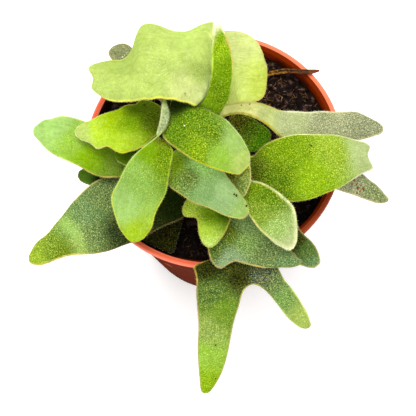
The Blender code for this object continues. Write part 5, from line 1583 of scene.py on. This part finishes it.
def make_rod(name, node, stations, half_thickness, look):
    """A knotty, split looking stick or stalk through its stations."""
    points, faces = [], []
    spots = np.array(stations, float)
    marks = np.concatenate([[0], np.cumsum(np.linalg.norm(np.diff(spots[:, :3], axis=0), axis=1))])
    lines = [spots[k:k + 1] for k in range(len(spots))]
    places = np.linspace(0, marks[-1], max(12, round(marks[-1] / ROD_STEP)))
    middle = np.array([follow(lines, marks, place)[0] for place in places])
    for k, (x, y, z, half) in enumerate(middle):
        ahead = Vector(middle[min(k + 1, len(middle) - 1)][:3] - middle[max(k - 1, 0)][:3])
        ahead.normalize()
        side = ahead.cross(Vector((0, 0, 1))).normalized()
        up = side.cross(ahead)
        for n in range(ROD_SIDES):
            angle = 2 * math.pi * n / ROD_SIDES
            ridge = 1 + 0.16 * math.sin(3 * angle + 1) + 0.1 * noise.noise(
                Vector((x / 1.3, n * 1.7, z)))
            height = min(half_thickness, half)
            points.append(Vector((x, y, z)) + (side * half * math.cos(angle)
                                               + up * height * math.sin(angle)) * ridge * 0.94)
    add_tube(faces, 0, len(middle), ROD_SIDES)
    rod = put(name, points, faces, [look])
    recalc(rod)
    settle(rod, node)


def twig_look(group):
    """Bark with lengthwise cracks, darker where it lies on the lip and red brown at its tip."""
    look, bench, shader, layer = mottled_look("dry twig bark", group)
    along = bench.apart(bench.place())["X"]
    grain = bench.noise(bench.stretch(bench.place(), TWIG_GRAIN), 1.0, 3.0)
    colour = bench.mix(bench.ramp(grain, 0.44, 0.56, 0.0, 0.9), layer.outputs["Colour"],
                       paint(TWIG_CRACK))
    for reach, rgb in ((TWIG_OUTER_X, TWIG_OUTER), (TWIG_TIP_X, TWIG_TIP)):
        colour = bench.mix(bench.math("MULTIPLY", bench.ramp(along, *reach), 0.8), colour,
                           paint(rgb))
    bench.feed(colour, shader.inputs["Base Color"])
    return look


def scatter_debris(mottle):
    """Crumbs and flecks that have dropped on the fronds, each set down on the blade below it."""
    looks = [mottled_look(name, mottle)[0] for name in DEBRIS_LOOKS]
    rng = random.Random(SEED + 80)
    points, faces, marks = [], [], []
    for name, kind, spots in DEBRIS:
        blade = bpy.data.objects[name + "_leaf"]
        for x, y, size in spots:
            hit, place, _, _ = blade.ray_cast(Vector((x, y, DROP_HEIGHT)) * MM, Vector((0, 0, -1)))
            if hit:
                add_crumb(points, faces, place / MM + Vector((0, 0, size * 0.15)), size, rng)
                marks += [kind] * (len(faces) - len(marks))
    litter = put("fallen_crumbs", points, faces, looks, marks)
    recalc(litter)
    settle(litter, None)


# Floor, light and camera


def make_floor():
    """The white floor of the studio, which isn't a piece of the plant."""
    bpy.ops.object.select_all(action="DESELECT")
    bpy.ops.mesh.primitive_plane_add(size=FLOOR_SIZE, location=(0, 0, 0))
    floor = bpy.context.object
    floor.name = "studio_floor"
    look, _, shader = new_look("studio floor")
    shader.inputs["Base Color"].default_value = FLOOR_GREY
    shader.inputs["Roughness"].default_value = 0.9
    shader.inputs["Specular IOR Level"].default_value = 0.1
    shader.inputs["Emission Color"].default_value = (1, 1, 1, 1)
    shader.inputs["Emission Strength"].default_value = FLOOR_GLOW
    floor.data.materials.append(look)


def add_lamp(name, place, aim, size, power):
    """A round soft lamp turned to where it aims."""
    lamp = bpy.data.lights.new(name, "AREA")
    lamp.shape = "DISK"
    lamp.size = size
    lamp.energy = power
    item = bpy.data.objects.new(name, lamp)
    item.location = place
    item.rotation_euler = (Vector(aim) - Vector(place)).to_track_quat("-Z", "Y").to_euler()
    bpy.context.collection.objects.link(item)


def light_studio():
    """An even white sky and one soft lamp, shown without any colour grading."""
    world = bpy.data.worlds.new("studio light")
    world.use_nodes = True
    sky = world.node_tree.nodes["Background"]
    sky.inputs["Color"].default_value = (1, 1, 1, 1)
    sky.inputs["Strength"].default_value = SKY_STRENGTH
    bpy.context.scene.world = world
    add_lamp("soft box", LAMP_PLACE, LAMP_AIM, LAMP_SIZE, LAMP_POWER)
    bpy.context.scene.view_settings.view_transform = "Standard"
    bpy.context.scene.view_settings.look = "None"


def aim_camera():
    """The camera that sees the plant as the photograph does."""
    rise = math.radians(CAMERA_RISE)
    eye = Vector(CAMERA_TARGET) + CAMERA_DISTANCE * Vector((0, -math.cos(rise), math.sin(rise)))
    forward = (Vector(CAMERA_AIM) - eye).normalized()
    right = forward.cross(Vector((0, 0, 1))).normalized()
    up = right.cross(forward)
    roll = math.radians(CAMERA_ROLL)
    across = right * math.cos(roll) + up * math.sin(roll)
    above = up * math.cos(roll) - right * math.sin(roll)
    lens = bpy.data.cameras.new("photo camera")
    lens.lens = CAMERA_LENS
    lens.sensor_width = CAMERA_SENSOR
    lens.sensor_fit = "HORIZONTAL"
    lens.clip_start = CAMERA_NEAREST
    camera = bpy.data.objects.new("photo camera", lens)
    turn = Matrix((across, above, -forward)).transposed().to_4x4()
    turn.translation = eye * MM
    camera.matrix_world = turn
    bpy.context.collection.objects.link(camera)
    bpy.context.scene.camera = camera


def main():
    """Build the stage and every piece."""
    bpy.ops.object.select_all(action="DESELECT")
    aim_camera()
    light_studio()
    make_floor()
    mottle = make_mottle_group()
    skin = make_frond_group()
    hair_look()
    make_pot(pot_look(mottle))
    make_soil([peat_look(name, mottle) for name in PEAT_LOOKS])
    make_crown([mottled_look(name, mottle)[0] for name in CROWN_LOOKS])
    phases = random.Random(SEED + 2)
    for name in FRONDS:
        make_frond(name, phases.uniform(0, 2 * math.pi), frond_look(name, skin))
    bark = twig_look(mottle)
    make_rod("dry_twig", "twig", TWIG, TWIG_HALF_THICKNESS, bark)
    make_rod("twig_sliver", None, SLIVER, SLIVER_HALF_THICKNESS, bark)
    make_rod("stalk_stub", "old_stalk", OLD_STALK, OLD_STALK_HALF_THICKNESS,
             mottled_look("old stalk", mottle)[0])
    scatter_debris(mottle)
    bpy.context.view_layer.update()


main()
